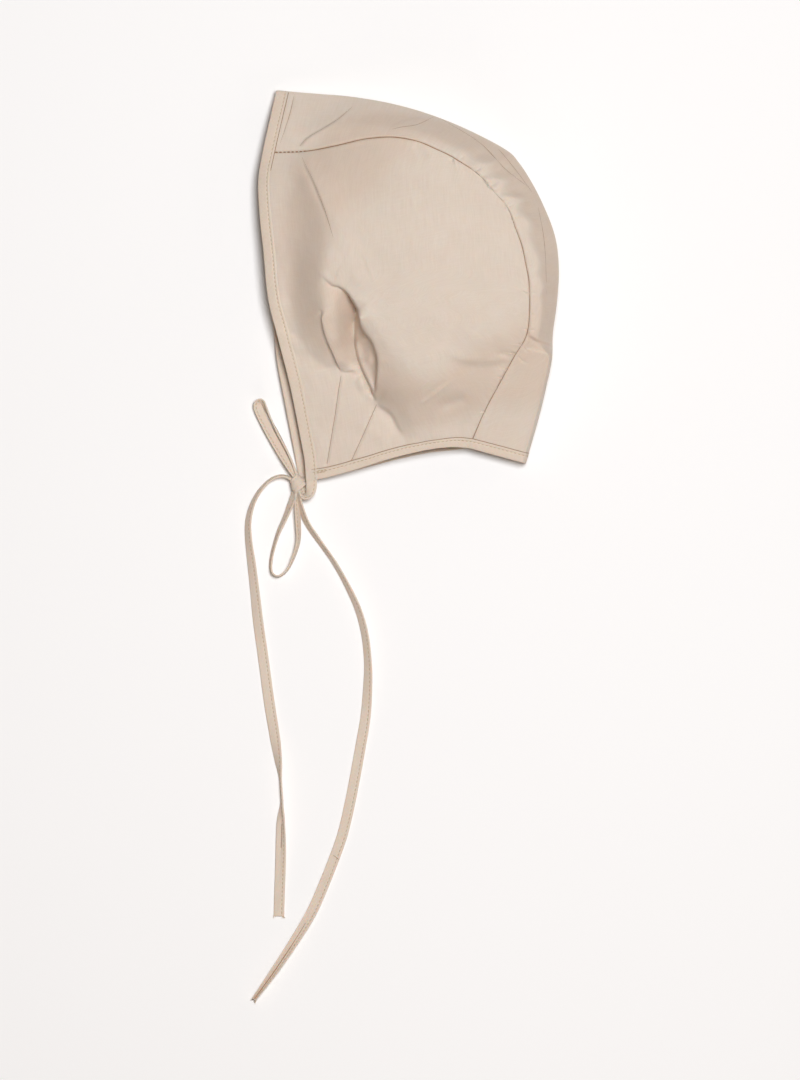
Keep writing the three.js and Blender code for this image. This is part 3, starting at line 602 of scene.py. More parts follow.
def crown_band(s, turn):
    """The band from the upper seam (turn 0) over the ridge (turn 0.5) to the lower seam: flat
    beside the seam, then falling steeply to the ridge."""
    upper, lower, out = upper_seam(s), lower_seam(s), ridge(s)
    middle = (upper + lower) / 2
    wide = shoulder_width(s, np.linalg.norm((out - upper)[..., :2], axis=-1))
    across, above = shouldered(2 * turn, wide)
    across = np.where(turn < 0.5, across, np.sin(np.pi * turn))
    above = np.where(turn < 0.5, above, np.cos(np.pi * turn))
    points = middle + (out - middle) * across[..., None] + (upper - middle) * above[..., None]
    outward = unit((out - middle) * 0.02 + (upper - middle))
    inner = inside(s, 0.03, 0.04) * smooth(turn / 0.05)
    x, y = points[..., 0], points[..., 1]
    steps, _ = stepped(x, y, BAND_STEPS)
    folds = (steps + creased(x, y, BAND_CREASES + BAND_PUCKERS)) * smooth((0.5 - turn) / 0.06)
    points += outward * (folds * inner)[..., None]
    away = turn * np.linalg.norm(out - middle, axis=-1) * 2
    points[..., 2] += BAND_SHOULDER["proud"] * smooth(away / 1.2) * np.exp(-away / 6) * smooth(s / 0.1)
    buckles = uneven("band", seam_run(s), away) * inside(turn, 0.1, 0.1)
    points += outward * (gathers(s, away) + buckles * inner)[..., None]
    return points


def share_of(distance, point, like):
    """The share of a line's parameter that a distance along the cloth takes at its start."""
    step = 0.01
    run = np.linalg.norm(point(np.full(like.shape, step)) - point(np.zeros(like.shape)), axis=-1)
    return distance * step / run


def normals_of(points):
    along = np.gradient(points, axis=0)
    across = np.gradient(points, axis=1)
    return unit(np.cross(along, across))


# Making meshes

def deselect():
    bpy.ops.object.select_all(action="DESELECT")


def placed(name, data):
    """A new object in the scene from a mesh, light or camera."""
    made = bpy.data.objects.new(name, data)
    bpy.context.collection.objects.link(made)
    return made


def select_only(piece):
    deselect()
    piece.select_set(True)
    bpy.context.view_layer.objects.active = piece


def recalculate(piece):
    """Turns every face outwards."""
    select_only(piece)
    bpy.ops.object.mode_set(mode="EDIT")
    bpy.ops.mesh.select_all(action="SELECT")
    bpy.ops.mesh.normals_make_consistent(inside=False)
    bpy.ops.object.mode_set(mode="OBJECT")
    deselect()


def apply(piece, kind, **settings):
    modifier = piece.modifiers.new(kind.title(), kind)
    for name, value in settings.items():
        setattr(modifier, name, value)
    bpy.context.view_layer.objects.active = piece
    bpy.ops.object.modifier_apply(modifier=modifier.name)


def flat_size(points):
    """Each grid point's place on the cloth laid flat, in millimetres, for the weave."""
    along = np.zeros(points.shape[:2])
    across = np.zeros(points.shape[:2])
    along[1:] = np.cumsum(np.linalg.norm(np.diff(points, axis=0), axis=-1), axis=0)
    across[:, 1:] = np.cumsum(np.linalg.norm(np.diff(points, axis=1), axis=-1), axis=1)
    return np.stack([along, across], axis=-1)


def grid(name, points, uv):
    """A grid primitive with its vertices moved to a table of points, in millimetres."""
    columns, lines = points.shape[:2]
    deselect()
    bpy.ops.mesh.primitive_grid_add(x_subdivisions=columns - 1, y_subdivisions=lines - 1, size=2,
                                    calc_uvs=True)
    piece = bpy.context.object
    piece.name = name
    piece.data.name = name
    mesh = piece.data
    places = np.zeros(len(mesh.vertices) * 3)
    mesh.vertices.foreach_get("co", places)
    places = places.reshape(-1, 3)
    i = np.rint((places[:, 0] + 1) / 2 * (columns - 1)).astype(int)
    j = np.rint((places[:, 1] + 1) / 2 * (lines - 1)).astype(int)
    mesh.vertices.foreach_set("co", (points[i, j] * MM).ravel())
    set_uv(mesh, uv[i, j])
    mesh.update()
    return piece


def cloth(name, points):
    """A cloth wall of an even thickness on a grid of points."""
    piece = grid(name, points, flat_size(points))
    apply(piece, "SOLIDIFY", thickness=CLOTH * MM, offset=0, use_even_offset=False)
    recalculate(piece)
    finish_shape(piece)
    return piece


def set_uv(mesh, per_vertex):
    layer = mesh.uv_layers[0] if mesh.uv_layers else mesh.uv_layers.new(name="UVMap")
    loops = np.zeros(len(mesh.loops), dtype=np.int32)
    mesh.loops.foreach_get("vertex_index", loops)
    layer.data.foreach_set("uv", per_vertex[loops].astype(np.float32).ravel())


def finish_shape(piece, angle=50):
    """Smooth shading, but for the sharp edges."""
    select_only(piece)
    bpy.ops.object.shade_smooth_by_angle(angle=math.radians(angle))
    deselect()


def sweep(name, rings, closed=False):
    """A closed tube through rings of points: rings is an array of ring, point in ring, xyz."""
    rings = np.concatenate([rings, rings[:, :1]], axis=1)
    if closed:
        rings = np.concatenate([rings, rings[:1]])
    piece = grid(name, rings, flat_size(rings))
    bpy.context.view_layer.objects.active = piece
    bpy.ops.object.mode_set(mode="EDIT")
    bpy.ops.mesh.select_all(action="SELECT")
    bpy.ops.mesh.remove_doubles(threshold=1e-7)
    if not closed:
        bpy.ops.mesh.select_all(action="DESELECT")
        bpy.ops.mesh.select_non_manifold(extend=False, use_wire=False, use_multi_face=False,
                                         use_non_contiguous=False, use_verts=False)
        bpy.ops.mesh.fill_holes(sides=0)
    bpy.ops.object.mode_set(mode="OBJECT")
    recalculate(piece)
    finish_shape(piece)
    return piece


def section(width, half):
    """The half-outline of folded tape from its folded inner edge to its outer edge: distance
    from the outer edge, and height above the middle."""
    line = width - STITCH_INSET
    return rows([
        (width, 0.25 * half), (width - 0.08, 0.7 * half), (width - 0.25, 0.95 * half),
        (width - 0.6, 1.04 * half), (line + 0.3, 1.0 * half), (line + 0.12, 0.8 * half),
        (line, 0.68 * half), (line - 0.12, 0.8 * half), (line - 0.35, 1.0 * half),
        (line - 1.0, 1.06 * half), (0.5 * width, 1.06 * half), (0.3 * width, 1.04 * half),
        (0.9, 1.0 * half), (0.5, 0.92 * half), (0.22, 0.68 * half), (0.06, 0.35 * half), (0.0, 0.0),
    ])


def tape_loop():
    """The whole outline of a tie tape, across from its middle and up from its middle."""
    outline = section(TAPE_WIDTH, TAPE_HALF)
    loop = np.vstack([outline, outline[-2:0:-1] * [1, -1]])
    loop[:, 0] -= TAPE_WIDTH / 2
    return loop


def pinched(length, pinch, waver, size, seed):
    """How a row of stitches thins and thickens a tape along its length, about 1."""
    stitches = pinch * np.sin(length / STITCH_PITCH * 2 * np.pi)
    return 1 + stitches + waver * ripple(length, length * 0, size, seed)


def bound_edge(name, base, normals, width, seed):
    """The tape folded over a cloth edge. base holds, for each place along the edge, points on
    the cloth from the very edge inwards, evenly spaced over the width."""
    outline = section(width, BINDING_HALF)
    loop = np.vstack([outline, outline[-2::-1] * [1, -1]])
    steps = np.linspace(0, width, base.shape[1])
    thickness = pinched(run_of(base[:, -1]), 0.10, 0.12, 13, seed)
    rings = np.zeros((len(base), len(loop), 3))
    for k, (away, height) in enumerate(loop):
        place = np.array([read_at(away, steps, row) for row in base])
        normal = unit(np.array([read_at(away, steps, row) for row in normals]))
        rings[:, k] = place + normal * (height * thickness)[:, None]
    return sweep(name, rings)


def stitch_model():
    """One stitch along Z, its ends rounded off and sunk: length 2 and radius 1."""
    deselect()
    bpy.ops.mesh.primitive_cylinder_add(vertices=6, radius=1, depth=2, end_fill_type="NGON")
    model = bpy.context.object
    bpy.ops.object.mode_set(mode="EDIT")
    for cut in (0.45, -0.45):
        bpy.ops.mesh.select_all(action="SELECT")
        bpy.ops.mesh.bisect(plane_co=(0, 0, cut), plane_no=(0, 0, 1))
    bpy.ops.object.mode_set(mode="OBJECT")
    for vertex in model.data.vertices:
        if abs(vertex.co.z) > 0.9:
            vertex.co.x = 0.45 * vertex.co.x - 0.9
            vertex.co.y = 0.45 * vertex.co.y
    return model


def joined(name, pieces):
    """Several objects made one."""
    deselect()
    for piece in pieces:
        piece.select_set(True)
    bpy.context.view_layer.objects.active = pieces[0]
    bpy.ops.object.join()
    piece = bpy.context.view_layer.objects.active
    piece.name = name
    piece.data.name = name
    deselect()
    return piece


def thread_stitches(name, places, tangents, normals, length=STITCH_LENGTH, radius=STITCH_RADIUS):
    """Short threads lying along a seam, each a copy of one stitch, sunk at both ends."""
    model = stitch_model()
    pieces = []
    for place, tangent, normal in zip(places, tangents, normals):
        turn = np.eye(4)
        turn[:3, 0] = normal * radius * MM
        turn[:3, 1] = np.cross(tangent, normal) * radius * MM
        turn[:3, 2] = tangent * length / 2 * MM
        turn[:3, 3] = place * MM
        mesh = model.data.copy()
        mesh.transform(Matrix(turn.tolist()))
        pieces.append(placed("stitch", mesh))
    bpy.data.objects.remove(model)
    piece = joined(name, pieces)
    recalculate(piece)
    finish_shape(piece, 60)
    return piece


def along_line(points, normals, pitch, start=0.0):
    """Evenly spaced places on a polyline, with their tangents and normals."""
    steps = run_of(points)
    spots = np.arange(start + pitch / 2, steps[-1] - pitch / 2, pitch)
    place = read_at(spots, steps, points)
    tangent = unit(read_at(spots + 0.4, steps, points) - read_at(spots - 0.4, steps, points))
    normal = unit(read_at(spots, steps, normals))
    normal = unit(normal - tangent * np.sum(normal * tangent, axis=-1, keepdims=True))
    return place, tangent, normal


# Cloth pieces

FACE_ROWS = {"side": 230, "band": 84}
NECK_ROWS = {"side": 120, "band": 120}
ACROSS = 9                    # samples across a binding
NECK_START = 0.045            # share of each panel's neck edge that the face binding covers
# Where the neck binding's rows lie on the band: dense at the start, which shows
NECK_OVER = ([0, 0.5, 0.72, 1], [0, 0.15, 0.5, 1])

# The grids' columns and lines, and how closely they lie: stops of share and density
GRIDS = {"upper": (204, 234), "lower": (100, 116), "band": (450, 104)}
UPPER_COLUMNS = [(0, 1.2), (0.1, 1.2), (0.16, 2.2), (0.48, 2.2), (0.58, 1), (0.96, 1), (0.985, 4), (1, 4)]
UPPER_LINES = [(0, 1.2), (0.2, 1.4), (0.27, 2), (0.62, 2), (0.7, 1), (0.96, 1), (0.985, 4), (1, 4)]
BAND_LINES = [(0, 5), (0.03, 5), (0.06, 2), (0.45, 1.3), (0.55, 1.3), (0.6, 0.7), (1, 0.7)]


def spread(count, stops):
    """Shares from 0 to 1, closer together where the stops say so."""
    fine = np.linspace(0, 1, 2000)
    places, density = zip(*stops)
    total = np.concatenate([[0], np.cumsum(np.interp(fine[1:], places, density))])
    return np.interp(np.linspace(0, 1, count), total / total[-1], fine)


def panel_points(surface, columns, lines):
    """A panel's grid, from under its bindings to its seam."""
    v0 = share_of(NECK_BINDING_WIDTH - TUCK, lambda t: surface(columns, t), columns)
    u0 = share_of(BINDING_WIDTH - TUCK, lambda t: surface(t, lines), lines)
    aa, bb = np.meshgrid(columns, lines, indexing="ij")
    return surface(u0[None, :] + (1 - u0[None, :]) * aa, v0[:, None] + (1 - v0[:, None]) * bb)


def tuck_seam(points, edges):
    """Rolls a cloth edge down into its seam."""
    normals = normals_of(points)
    depth = np.zeros(points.shape[:2])
    for axis, side in edges:
        lines = np.moveaxis(points, axis, 0)
        if side:
            lines = lines[::-1]
        away = np.concatenate([np.zeros((1,) + lines.shape[1:2]),
                               np.cumsum(np.linalg.norm(np.diff(lines, axis=0), axis=-1), axis=0)])
        if side:
            away = away[::-1]
        depth = np.maximum(depth, np.moveaxis(SEAM_DEPTH * np.exp(-(away / SEAM_HALF) ** 2), 0, axis))
    return points - normals * depth[..., None]


def make_upper_panel():
    columns, lines = GRIDS["upper"]
    points = panel_points(upper_panel, spread(columns, UPPER_COLUMNS), spread(lines, UPPER_LINES))
    points = tuck_seam(points, [(0, 1), (1, 1)])
    return cloth("side_panel_left_cloth", points), points


def make_lower_panel():
    columns, lines = GRIDS["lower"]
    points = panel_points(lower_panel, np.linspace(0, 1, columns), np.linspace(0, 1, lines))
    return cloth("side_panel_right_cloth", points)


def make_band():
    columns, lines = GRIDS["band"]
    t = spread(lines, BAND_LINES)
    ss, tt = np.meshgrid(np.linspace(0, 1, columns), t, indexing="ij")
    start = share_of(BINDING_WIDTH - TUCK, lambda k: crown_band(k, tt), ss)
    end = share_of(NECK_BINDING_WIDTH - TUCK, lambda k: crown_band(1 - k, tt), ss)
    points = tuck_seam(crown_band(start + (1 - end - start) * ss, tt), [(1, 0), (1, 1)])
    return cloth("crown_band_cloth", points), points[:, t < 0.48]


def edge_strip(width, parts):
    """Joins the strips of cloth under a binding. Each part has a surface that runs inwards and
    along the edge, its places along the edge, and whether it runs backwards."""
    strips = []
    for surface, places, flip in parts:
        share = share_of(width, lambda t: surface(t, places), places)
        across = np.linspace(0, 1, ACROSS)
        strip = surface(share[:, None] * across[None, :], np.repeat(places[:, None], ACROSS, axis=1))
        strips.append(strip[::-1] if flip else strip)
    base = np.concatenate(strips)
    keep = np.concatenate([[True], np.linalg.norm(np.diff(base[:, 0], axis=0), axis=1) > 0.15])
    return base[keep]


def face_strip():
    side = np.linspace(0, 1, FACE_ROWS["side"])
    over = np.linspace(0, 1, FACE_ROWS["band"])
    return relaxed(edge_strip(BINDING_WIDTH, [
        (upper_panel, side, False),
        (crown_band, over, False),
        (lower_panel, side, True),
    ]), 6)


def neck_strip():
    side = NECK_START + (1 - NECK_START) * np.linspace(0, 1, NECK_ROWS["side"])
    over = np.interp(np.linspace(0, 1, NECK_ROWS["band"]), *NECK_OVER)
    return relaxed(edge_strip(NECK_BINDING_WIDTH, [
        (lambda t, u: upper_panel(u, t), side, False),
        (lambda t, turn: crown_band(1 - t, turn), over, False),
        (lambda t, u: lower_panel(u, t), side, True),
    ]), 6)


# A binding's inner edge has its dark line of painted shade where y is above this
EDGE_SHOWS_ABOVE = {"face_binding_tape_edge": 57, "neck_binding_tape_edge": -200}
# Where a stitch line is sewn back over itself: from x to x, and how far each row lies aside
BACK_TACKS = {"neck_binding_tape": (-46.2, -40.6)}
BACK_TACK_ROWS = (-0.55, 0.45)


def edge_line(name, base, normals):
    """The fine line of shade along the inner edge of a binding, on the face that shows."""
    shows = np.sign(normals[len(base) // 5, -1, 2])
    line = base[:, -1] + normals[:, -1] * shows * (CLOTH / 2 + 0.10)
    line += unit(base[:, -1] - base[:, -2]) * 0.2
    line = line[:int(len(line) * 0.6)]
    return fine_line(name, line[line[:, 1] > EDGE_SHOWS_ABOVE[name]], 0.17)


def upright(line):
    """A normal that points straight up, for each point of a line."""
    return np.tile([0.0, 0.0, 1.0], (len(line), 1))


def make_binding(name, base, width, seed):
    """A bound edge, the stitches on both of its faces and the dark line of painted shade along its inner
    edge.
    """
    normals = normals_of(base)
    piece = bound_edge(name, base, normals, width, seed)
    place = (width - STITCH_INSET) / width * (ACROSS - 1)
    first = int(place)
    mix = place - first
    middle = base[:, first] * (1 - mix) + base[:, first + 1] * mix
    normal = unit(normals[:, first] * (1 - mix) + normals[:, first + 1] * mix)
    lift = 0.80 * BINDING_HALF
    pieces = []
    for side, label in ((1, "out"), (-1, "in")):
        spots = along_line(middle + normal * lift * side, normal * side, STITCH_PITCH)
        pieces.append(thread_stitches(f"{name}_stitches_{label}", *spots))
    if name in BACK_TACKS:
        low, high = BACK_TACKS[name]
        line = middle + normal * (lift + 0.12)
        line = line[(line[:, 0] > low) & (line[:, 0] < high) & (line[:, 2] > 5)]
        for row, aside in enumerate(BACK_TACK_ROWS):
            spots = along_line(line + [0, aside, 0], upright(line), 1.5, 0.4 * row)
            pieces.append(thread_stitches(f"{name}_back_tack_{row}", *spots))
    return piece, pieces, edge_line(f"{name}_edge", base, normals)


def fine_line(name, points, radius):
    """A thin tube along a line: a loose thread, or the fine dark line of painted shade where two cloths meet
    or fold, lying in the valley.
    """
    tangent = unit(np.gradient(points, axis=0))
    side = unit(np.cross(tangent, [0, 0, 1.0]))
    up = np.cross(side, tangent)
    angles = np.arange(6) * np.pi / 3
    wide = np.broadcast_to(radius, len(points))[:, None, None]
    rings = (points[:, None] + side[:, None] * np.cos(angles)[None, :, None] * wide
             + up[:, None] * np.sin(angles)[None, :, None] * wide)
    return sweep(name, rings)


def lying_on(points, line, lift):
    """A line in plan laid on a cloth's grid of points, lifted off it by a distance."""
    flat = points.reshape(-1, 3)
    laid = []
    for x, y in line[:, :2]:
        near = flat[np.argsort((flat[:, 0] - x) ** 2 + (flat[:, 1] - y) ** 2)[:9]]
        plane, *_ = np.linalg.lstsq(np.column_stack([near[:, :2], np.ones(9)]), near[:, 2], rcond=None)
        up = unit(np.array([-plane[0], -plane[1], 1.0]))
        laid.append(np.array([x, y, plane[0] * x + plane[1] * y + plane[2]]) + up * (CLOTH / 2 + lift))
    return np.array(laid)


# The side seam that shows: its first stitches lie open, then the cloth closes over it and a dark line of
# painted shade runs in its valley. The shares of the seam that each takes, and the line's radius as stops of
# share and radius.
SEAM_STITCHES = (0.016, 0.064)
SEAM_CLOSED = (0.06, 0.985)
SEAM_RADII = [(0, 0.14), (0.1, 0.26), (0.3, 0.26), (0.5, 0.2), (1, 0.16)]


def seam_lines(panel, crown):
    """Dark lines of painted shade in the side seam that shows, in the two darts and in the sharpest creases,
    and the seam's first stitches.
    """
    floor_of_seam = CLOTH / 2 - SEAM_DEPTH
    shares = np.linspace(*SEAM_CLOSED, 520)
    run = upper_seam(shares)
    length = seam_run(shares)
    run[:, 2] += floor_of_seam + 0.06 + 0.05 * np.sin(length / 2.3) + 0.04 * np.sin(length / 5.1)
    pieces = [fine_line("side_seam_shade_line", run, np.interp(shares, *zip(*SEAM_RADII)))]
    for name, line in DARTS.items():
        dart = lying_on(panel, Curve(line)(np.linspace(0.03, 0.985, 70)), 0.02)
        pieces.append(fine_line(f"{name}_dart_shade_line", dart, 0.10))
    for name, (line, lift, radius) in FINE_CREASES.items():
        shares = np.linspace(0, 1, 70)
        laid = relaxed(lying_on(crown if name.startswith("band") else panel, Curve(line)(shares), lift), 4)
        wide = radius * np.sin((0.03 + 0.94 * shares) * np.pi) ** 0.6
        pieces.append(fine_line(f"{name}_crease", laid, wide))
    start = upper_seam(np.linspace(*SEAM_STITCHES, 60))
    start[:, 2] += floor_of_seam + 0.85
    spots = along_line(start, upright(start), STITCH_PITCH)
    pieces.append(thread_stitches("side_seam_stitches", *spots, 1.35, 0.28))
    return pieces


# Ties. Each row of a route is x, y, z, how far the tape is turned on edge in degrees, and its
# width as a share of the whole.

TIE_ROUTES = {
    "tie_right": [
        (-51.6, -95.6, 1.2, 0, 0.9), (-51.4, -99.2, 1.7, 0, 0.85), (-51.4, -101.6, 2.4, 8, 0.8),
        (-53, -102.2, 3.2, 22, 0.7), (-54.8, -100, 4.2, 40, 0.6), (-55.6, -97, 4.8, 50, 0.6),
        (-57.2, -93.6, 5, 42, 0.8), (-60.2, -88.4, 4.6, 36, 0.95), (-64.3, -81.6, 3.6, 32, 1),
        (-70.6, -70.4, 2.8, 30, 1), (-74.4, -62.6, 2.6, 30, 1), (-75.3, -59.8, 2.8, 36, 1),
        (-74.7, -58, 3, 50, 1), (-73, -57.7, 3.2, 62, 1), (-71.9, -59.8, 3.3, 72, 1),
        (-69.3, -65.4, 3.3, 84, 1),
        (-65.3, -73.2, 3.3, 96, 1), (-60.2, -83.2, 4.4, 90, 0.85), (-56.9, -91.6, 5.4, 80, 0.6),
        (-55.6, -96.4, 5, 75, 0.5), (-57, -97.4, 4.8, 75, 0.5), (-59.4, -95.9, 4.5, 76, 0.7),
        (-62.8, -94.9, 3.8, 78, 0.9), (-67.8, -96.2, 3.2, 77, 1), (-73, -100.8, 3.1, 74, 1),
        (-77.6, -108.4, 2.9, 67, 1), (-80, -118, 2.6, 58, 1), (-79.9, -126, 2.4, 53, 1),
        (-78.2, -139.8, 2, 40, 1), (-76.6, -153.5, 1.6, 30, 1), (-75.1, -167, 1, 16, 1),
        (-72.3, -187, 0.6, 3, 1), (-69.6, -207, 0.6, 0, 1), (-67.2, -222, 0.9, 10, 1),
        (-65.1, -236, 2, 45, 1), (-63.7, -248.5, 2.9, 82, 1), (-63.2, -257, 2.9, 80, 1),
        (-63, -268, 1.9, 42, 1), (-63.5, -284, 0.9, 12, 1), (-64.3, -303.5, 0.6, 0, 1),
        (-64.6, -315, 0.6, 0, 1),
    ],
    "tie_left": [
        (-48.3, -96.4, 9.2, 0, 1), (-48.3, -100.4, 9.2, 4, 1), (-49.2, -103.6, 8.7, 20, 0.95),
        (-51.2, -105.3, 7.8, 42, 0.8), (-53.4, -104.8, 6.6, 62, 0.6), (-54.2, -101.6, 5.6, 72, 0.5),
        (-55.6, -98.6, 5, 70, 0.6), (-56.3, -101.4, 4.9, 52, 0.75), (-57.6, -106, 4.5, 52, 0.9),
        (-61.6, -116, 3.6, 66, 1), (-65.5, -124.9, 3.2, 73, 1), (-68.6, -137.4, 3, 78, 1),
        (-68.2, -143.6, 3, 82, 1), (-65.1, -145.3, 3, 84, 1), (-61, -142.6, 3, 82, 1),
        (-57, -134.9, 3, 76, 1), (-54.9, -127.2, 3.1, 70, 1), (-55, -118.6, 3.4, 60, 0.95),
        (-55.5, -110.4, 4.2, 60, 0.85), (-56, -103.6, 5, 68, 0.65), (-56, -98.8, 5.4, 72, 0.5),
        (-55.2, -102.6, 5.6, 64, 0.7), (-54.3, -108.2, 5.2, 62, 0.9), (-50.6, -118.4, 3.6, 65, 1),
        (-44.6, -127.4, 3, 68, 1), (-36.8, -138.6, 2.8, 67, 1), (-29.8, -151.2, 2.7, 63, 1),
        (-24.6, -163, 2.5, 54, 1), (-21.6, -174.6, 2.3, 50, 1), (-20.2, -188, 2, 45, 1),
        (-20.3, -200.8, 1.5, 32, 1), (-21.5, -216.7, 0.9, 13, 1), (-23.4, -228, 0.6, 3, 1),
        (-28.8, -257, 0.6, 0, 1), (-33, -274.8, 0.6, 0, 1), (-36.8, -285.6, 0.6, 0, 1),
        (-42.6, -300.3, 0.6, 0, 1), (-48.3, -313.1, 0.6, 0, 1), (-56.3, -326.6, 0.8, 2, 0.9),
        (-66.8, -342.5, 1, 4, 0.74), (-77.1, -356.8, 1, 4, 0.44),
    ],
}


# How far the edges of a tape stand above its middle: stops of share of its length and height
TIE_CUPS = {
    "tie_left": [(0, 0), (0.78, 0), (0.84, 0.7), (0.89, 1.4), (0.94, 2.1), (1, 2.7)],
    "tie_right": [(0, 0), (0.83, 0), (0.865, 1.2), (0.90, 1.0), (0.94, 0.3), (0.97, 0), (1, 0)],
}
CUP_SHAPE = 0.8               # power with which a cup rises from the tape's middle to its edge
# The fine dark line of painted shade at the bottom of a tape's fold: from share to share of its length, its
# radius
TIE_FOLDS = {"tie_left": (0.885, 0.998, 0.42), "tie_right": (0.865, 0.90, 0.16)}
# Where a tape is pieced, as a share of its length
TIE_JOINTS = {"tie_left": 0.793}
TIE_SPACING = 0.8


def tie_path(name):
    """The tape's centreline, width axis, thickness axis and width share, evenly spaced."""
    table = rows(TIE_ROUTES[name])
    dense = Curve(table)(np.linspace(0, 1, 60 * len(table)))
    steps = run_of(dense[:, :3])
    line = read_at(np.linspace(0, steps[-1], int(steps[-1] / TIE_SPACING)), steps, dense)
    centre = relaxed(line[:, :3], 2)
    tangent = unit(np.gradient(centre, axis=0))
    side = unit(np.cross([0, 0, 1.0], tangent))
    rise = unit(np.cross(tangent, side))
    turn = np.radians(line[:, 3])[:, None]
    across = side * np.cos(turn) + rise * np.sin(turn)
    return centre, tangent, across, unit(np.cross(tangent, across)), line[:, 4]


def make_tie(name, seed):
    """A tie tape on its route, its stitches, its fold line and its joint as dark lines of painted shade, and
    its frayed end.
    """
    centre, tangent, across, thick, share = tie_path(name)
    loop = tape_loop()
    length = run_of(centre)
    stout = 1 / np.sqrt(share)
    height = stout * pinched(length, 0.08, 0.10, 17, seed)
    rings = (centre[:, None] + across[:, None] * (loop[None, :, 0] * share[:, None])[..., None]
             + thick[:, None] * (loop[None, :, 1] * height[:, None])[..., None])
    cup = np.interp(length / length[-1], *zip(*TIE_CUPS[name]))
    wing = (np.abs(loop[:, 0]) / (TAPE_WIDTH / 2)) ** CUP_SHAPE
    rings += thick[:, None] * (cup[:, None] * wing[None, :])[..., None]
    rings[..., 2] = np.maximum(rings[..., 2], CLEAR["tape"])
    piece = sweep(name, rings)
    pieces = []
    offset = (TAPE_WIDTH / 2 - STITCH_INSET) * share
    for sign, label in ((1, "top"), (-1, "under")):
        rise = cup * (1 - 2 * STITCH_INSET / TAPE_WIDTH) ** CUP_SHAPE + sign * 0.8 * TAPE_HALF * stout
        line = centre + across * offset[:, None] + thick * rise[:, None]
        line[:, 2] = np.maximum(line[:, 2], CLEAR["stitches"])
        spots = along_line(line, thick * sign, STITCH_PITCH)
        pieces.append(thread_stitches(f"{name}_stitches_{label}", *spots))
    pieces.append(frayed_end(f"{name}_frayed_end", centre[-1], tangent[-1], across[-1] * share[-1], seed))
    # The fold's groove gets a dark line of painted shade
    start, end, radius = TIE_FOLDS[name]
    fold = np.linspace(start, end, 60) * (len(centre) - 1)
    floor = read_at(fold, np.arange(len(centre)), np.column_stack([centre, thick, stout]))
    groove = floor[:, :3] + floor[:, 3:6] * (TAPE_HALF * floor[:, 6] + 0.12)[:, None]
    pieces.append(fine_line(f"{name}_fold_line", groove, np.linspace(0.06, radius, 60)))
    if name in TIE_JOINTS:
        spot = int(TIE_JOINTS[name] * len(centre))
        steps = np.linspace(-0.16, 0.47, 12)[:, None]
        slant = centre[spot] + across[spot] * TAPE_WIDTH * steps + tangent[spot] * TAPE_WIDTH * steps * 0.3
        slant[:, 2] += TAPE_HALF * 1.1 + cup[spot] * (2 * np.abs(steps[:, 0])) ** 1.3
        pieces.append(fine_line(f"{name}_joint", slant, 0.11))
    return piece, pieces, centre, length[-1]


def frayed_end(name, place, tangent, across, seed):
    """Loose threads at a tape's raw end."""
    draw = random.Random(seed)
    pieces = []
    for k in range(9):
        edge = (1, -1)[k % 2]
        start = place + across * TAPE_WIDTH * edge * draw.uniform(0.3, 0.5) - tangent * 0.6
        reach = draw.uniform(0.2, 1.3)
        bend = edge * draw.uniform(-0.1, 1.1)
        t = np.linspace(0, 1, 8)[:, None]
        line = start + (tangent * t + across * bend * t * t) * (reach + 0.6)
        line[:, 2] = np.maximum(line[:, 2] + draw.uniform(-0.3, 0.5) * t[:, 0], CLEAR["loose thread"])
        pieces.append(fine_line(f"{name}_{k}", line, np.linspace(0.12, 0.07, 8)))
    return joined(name, pieces)


KNOT = {"place": (-55.8, -98.0, 5.3), "half_width": 3.1, "half_height": 2.6, "axis": (-0.5, 0.87, 0.0),
        "widens": 0.26, "skew": 0.7, "rings": 96}
# The knot's turns of tape: the place along the bundle and how much wider than the wrap each is
KNOT_TURNS = {"bow_knot_wrap": (0.3, 0.0), "bow_knot_under": (-1.5, -0.42)}


def knot_turn(name):
    """A turn of tape that wraps the bundle of the bow, its width along the bundle."""
    shift, grow = KNOT_TURNS[name]
    axis = unit(rows(KNOT["axis"]))
    aside = unit(np.cross(axis, [0, 0, 1.0]))
    up = np.array([0, 0, 1.0])
    centre = rows(KNOT["place"]) + axis * shift
    half_width, half_height = KNOT["half_width"] + grow, KNOT["half_height"] + grow
    loop = tape_loop()
    wide = 1 - KNOT["widens"] * (loop[:, 0] + shift) / (TAPE_WIDTH / 2)
    rings = []
    for angle in 2 * np.pi * np.arange(KNOT["rings"]) / KNOT["rings"]:
        out = aside * math.cos(angle) * half_width + up * math.sin(angle) * half_height
        normal = unit(aside * math.cos(angle) / half_width + up * math.sin(angle) / half_height)
        skew = axis * KNOT["skew"] * math.cos(angle)
        rings.append(centre + skew + np.outer(wide, out) + np.outer(loop[:, 0], axis)
                     + np.outer(loop[:, 1], normal))
    return sweep(name, np.array(rings), closed=True)


# Materials

class Socket:
    """A shader socket that takes part in Python expressions."""

    def __init__(self, graph, socket):
        self.graph = graph
        self.socket = socket

    def maths(self, operation, other=None, swapped=False):
        pair = (other, self) if swapped else (self, other)
        values = {k: value for k, value in enumerate(pair) if value is not None}
        return self.graph.node("ShaderNodeMath", {"operation": operation}, values)

    def __add__(self, other):
        return self.maths("ADD", other)

    def __radd__(self, other):
        return self.maths("ADD", other, True)

    def __sub__(self, other):
        return self.maths("SUBTRACT", other)

    def __rsub__(self, other):
        return self.maths("SUBTRACT", other, True)

    def __mul__(self, other):
        return self.maths("MULTIPLY", other)

    def __rmul__(self, other):
        return self.maths("MULTIPLY", other, True)

    def sine(self):
        return self.maths("SINE")


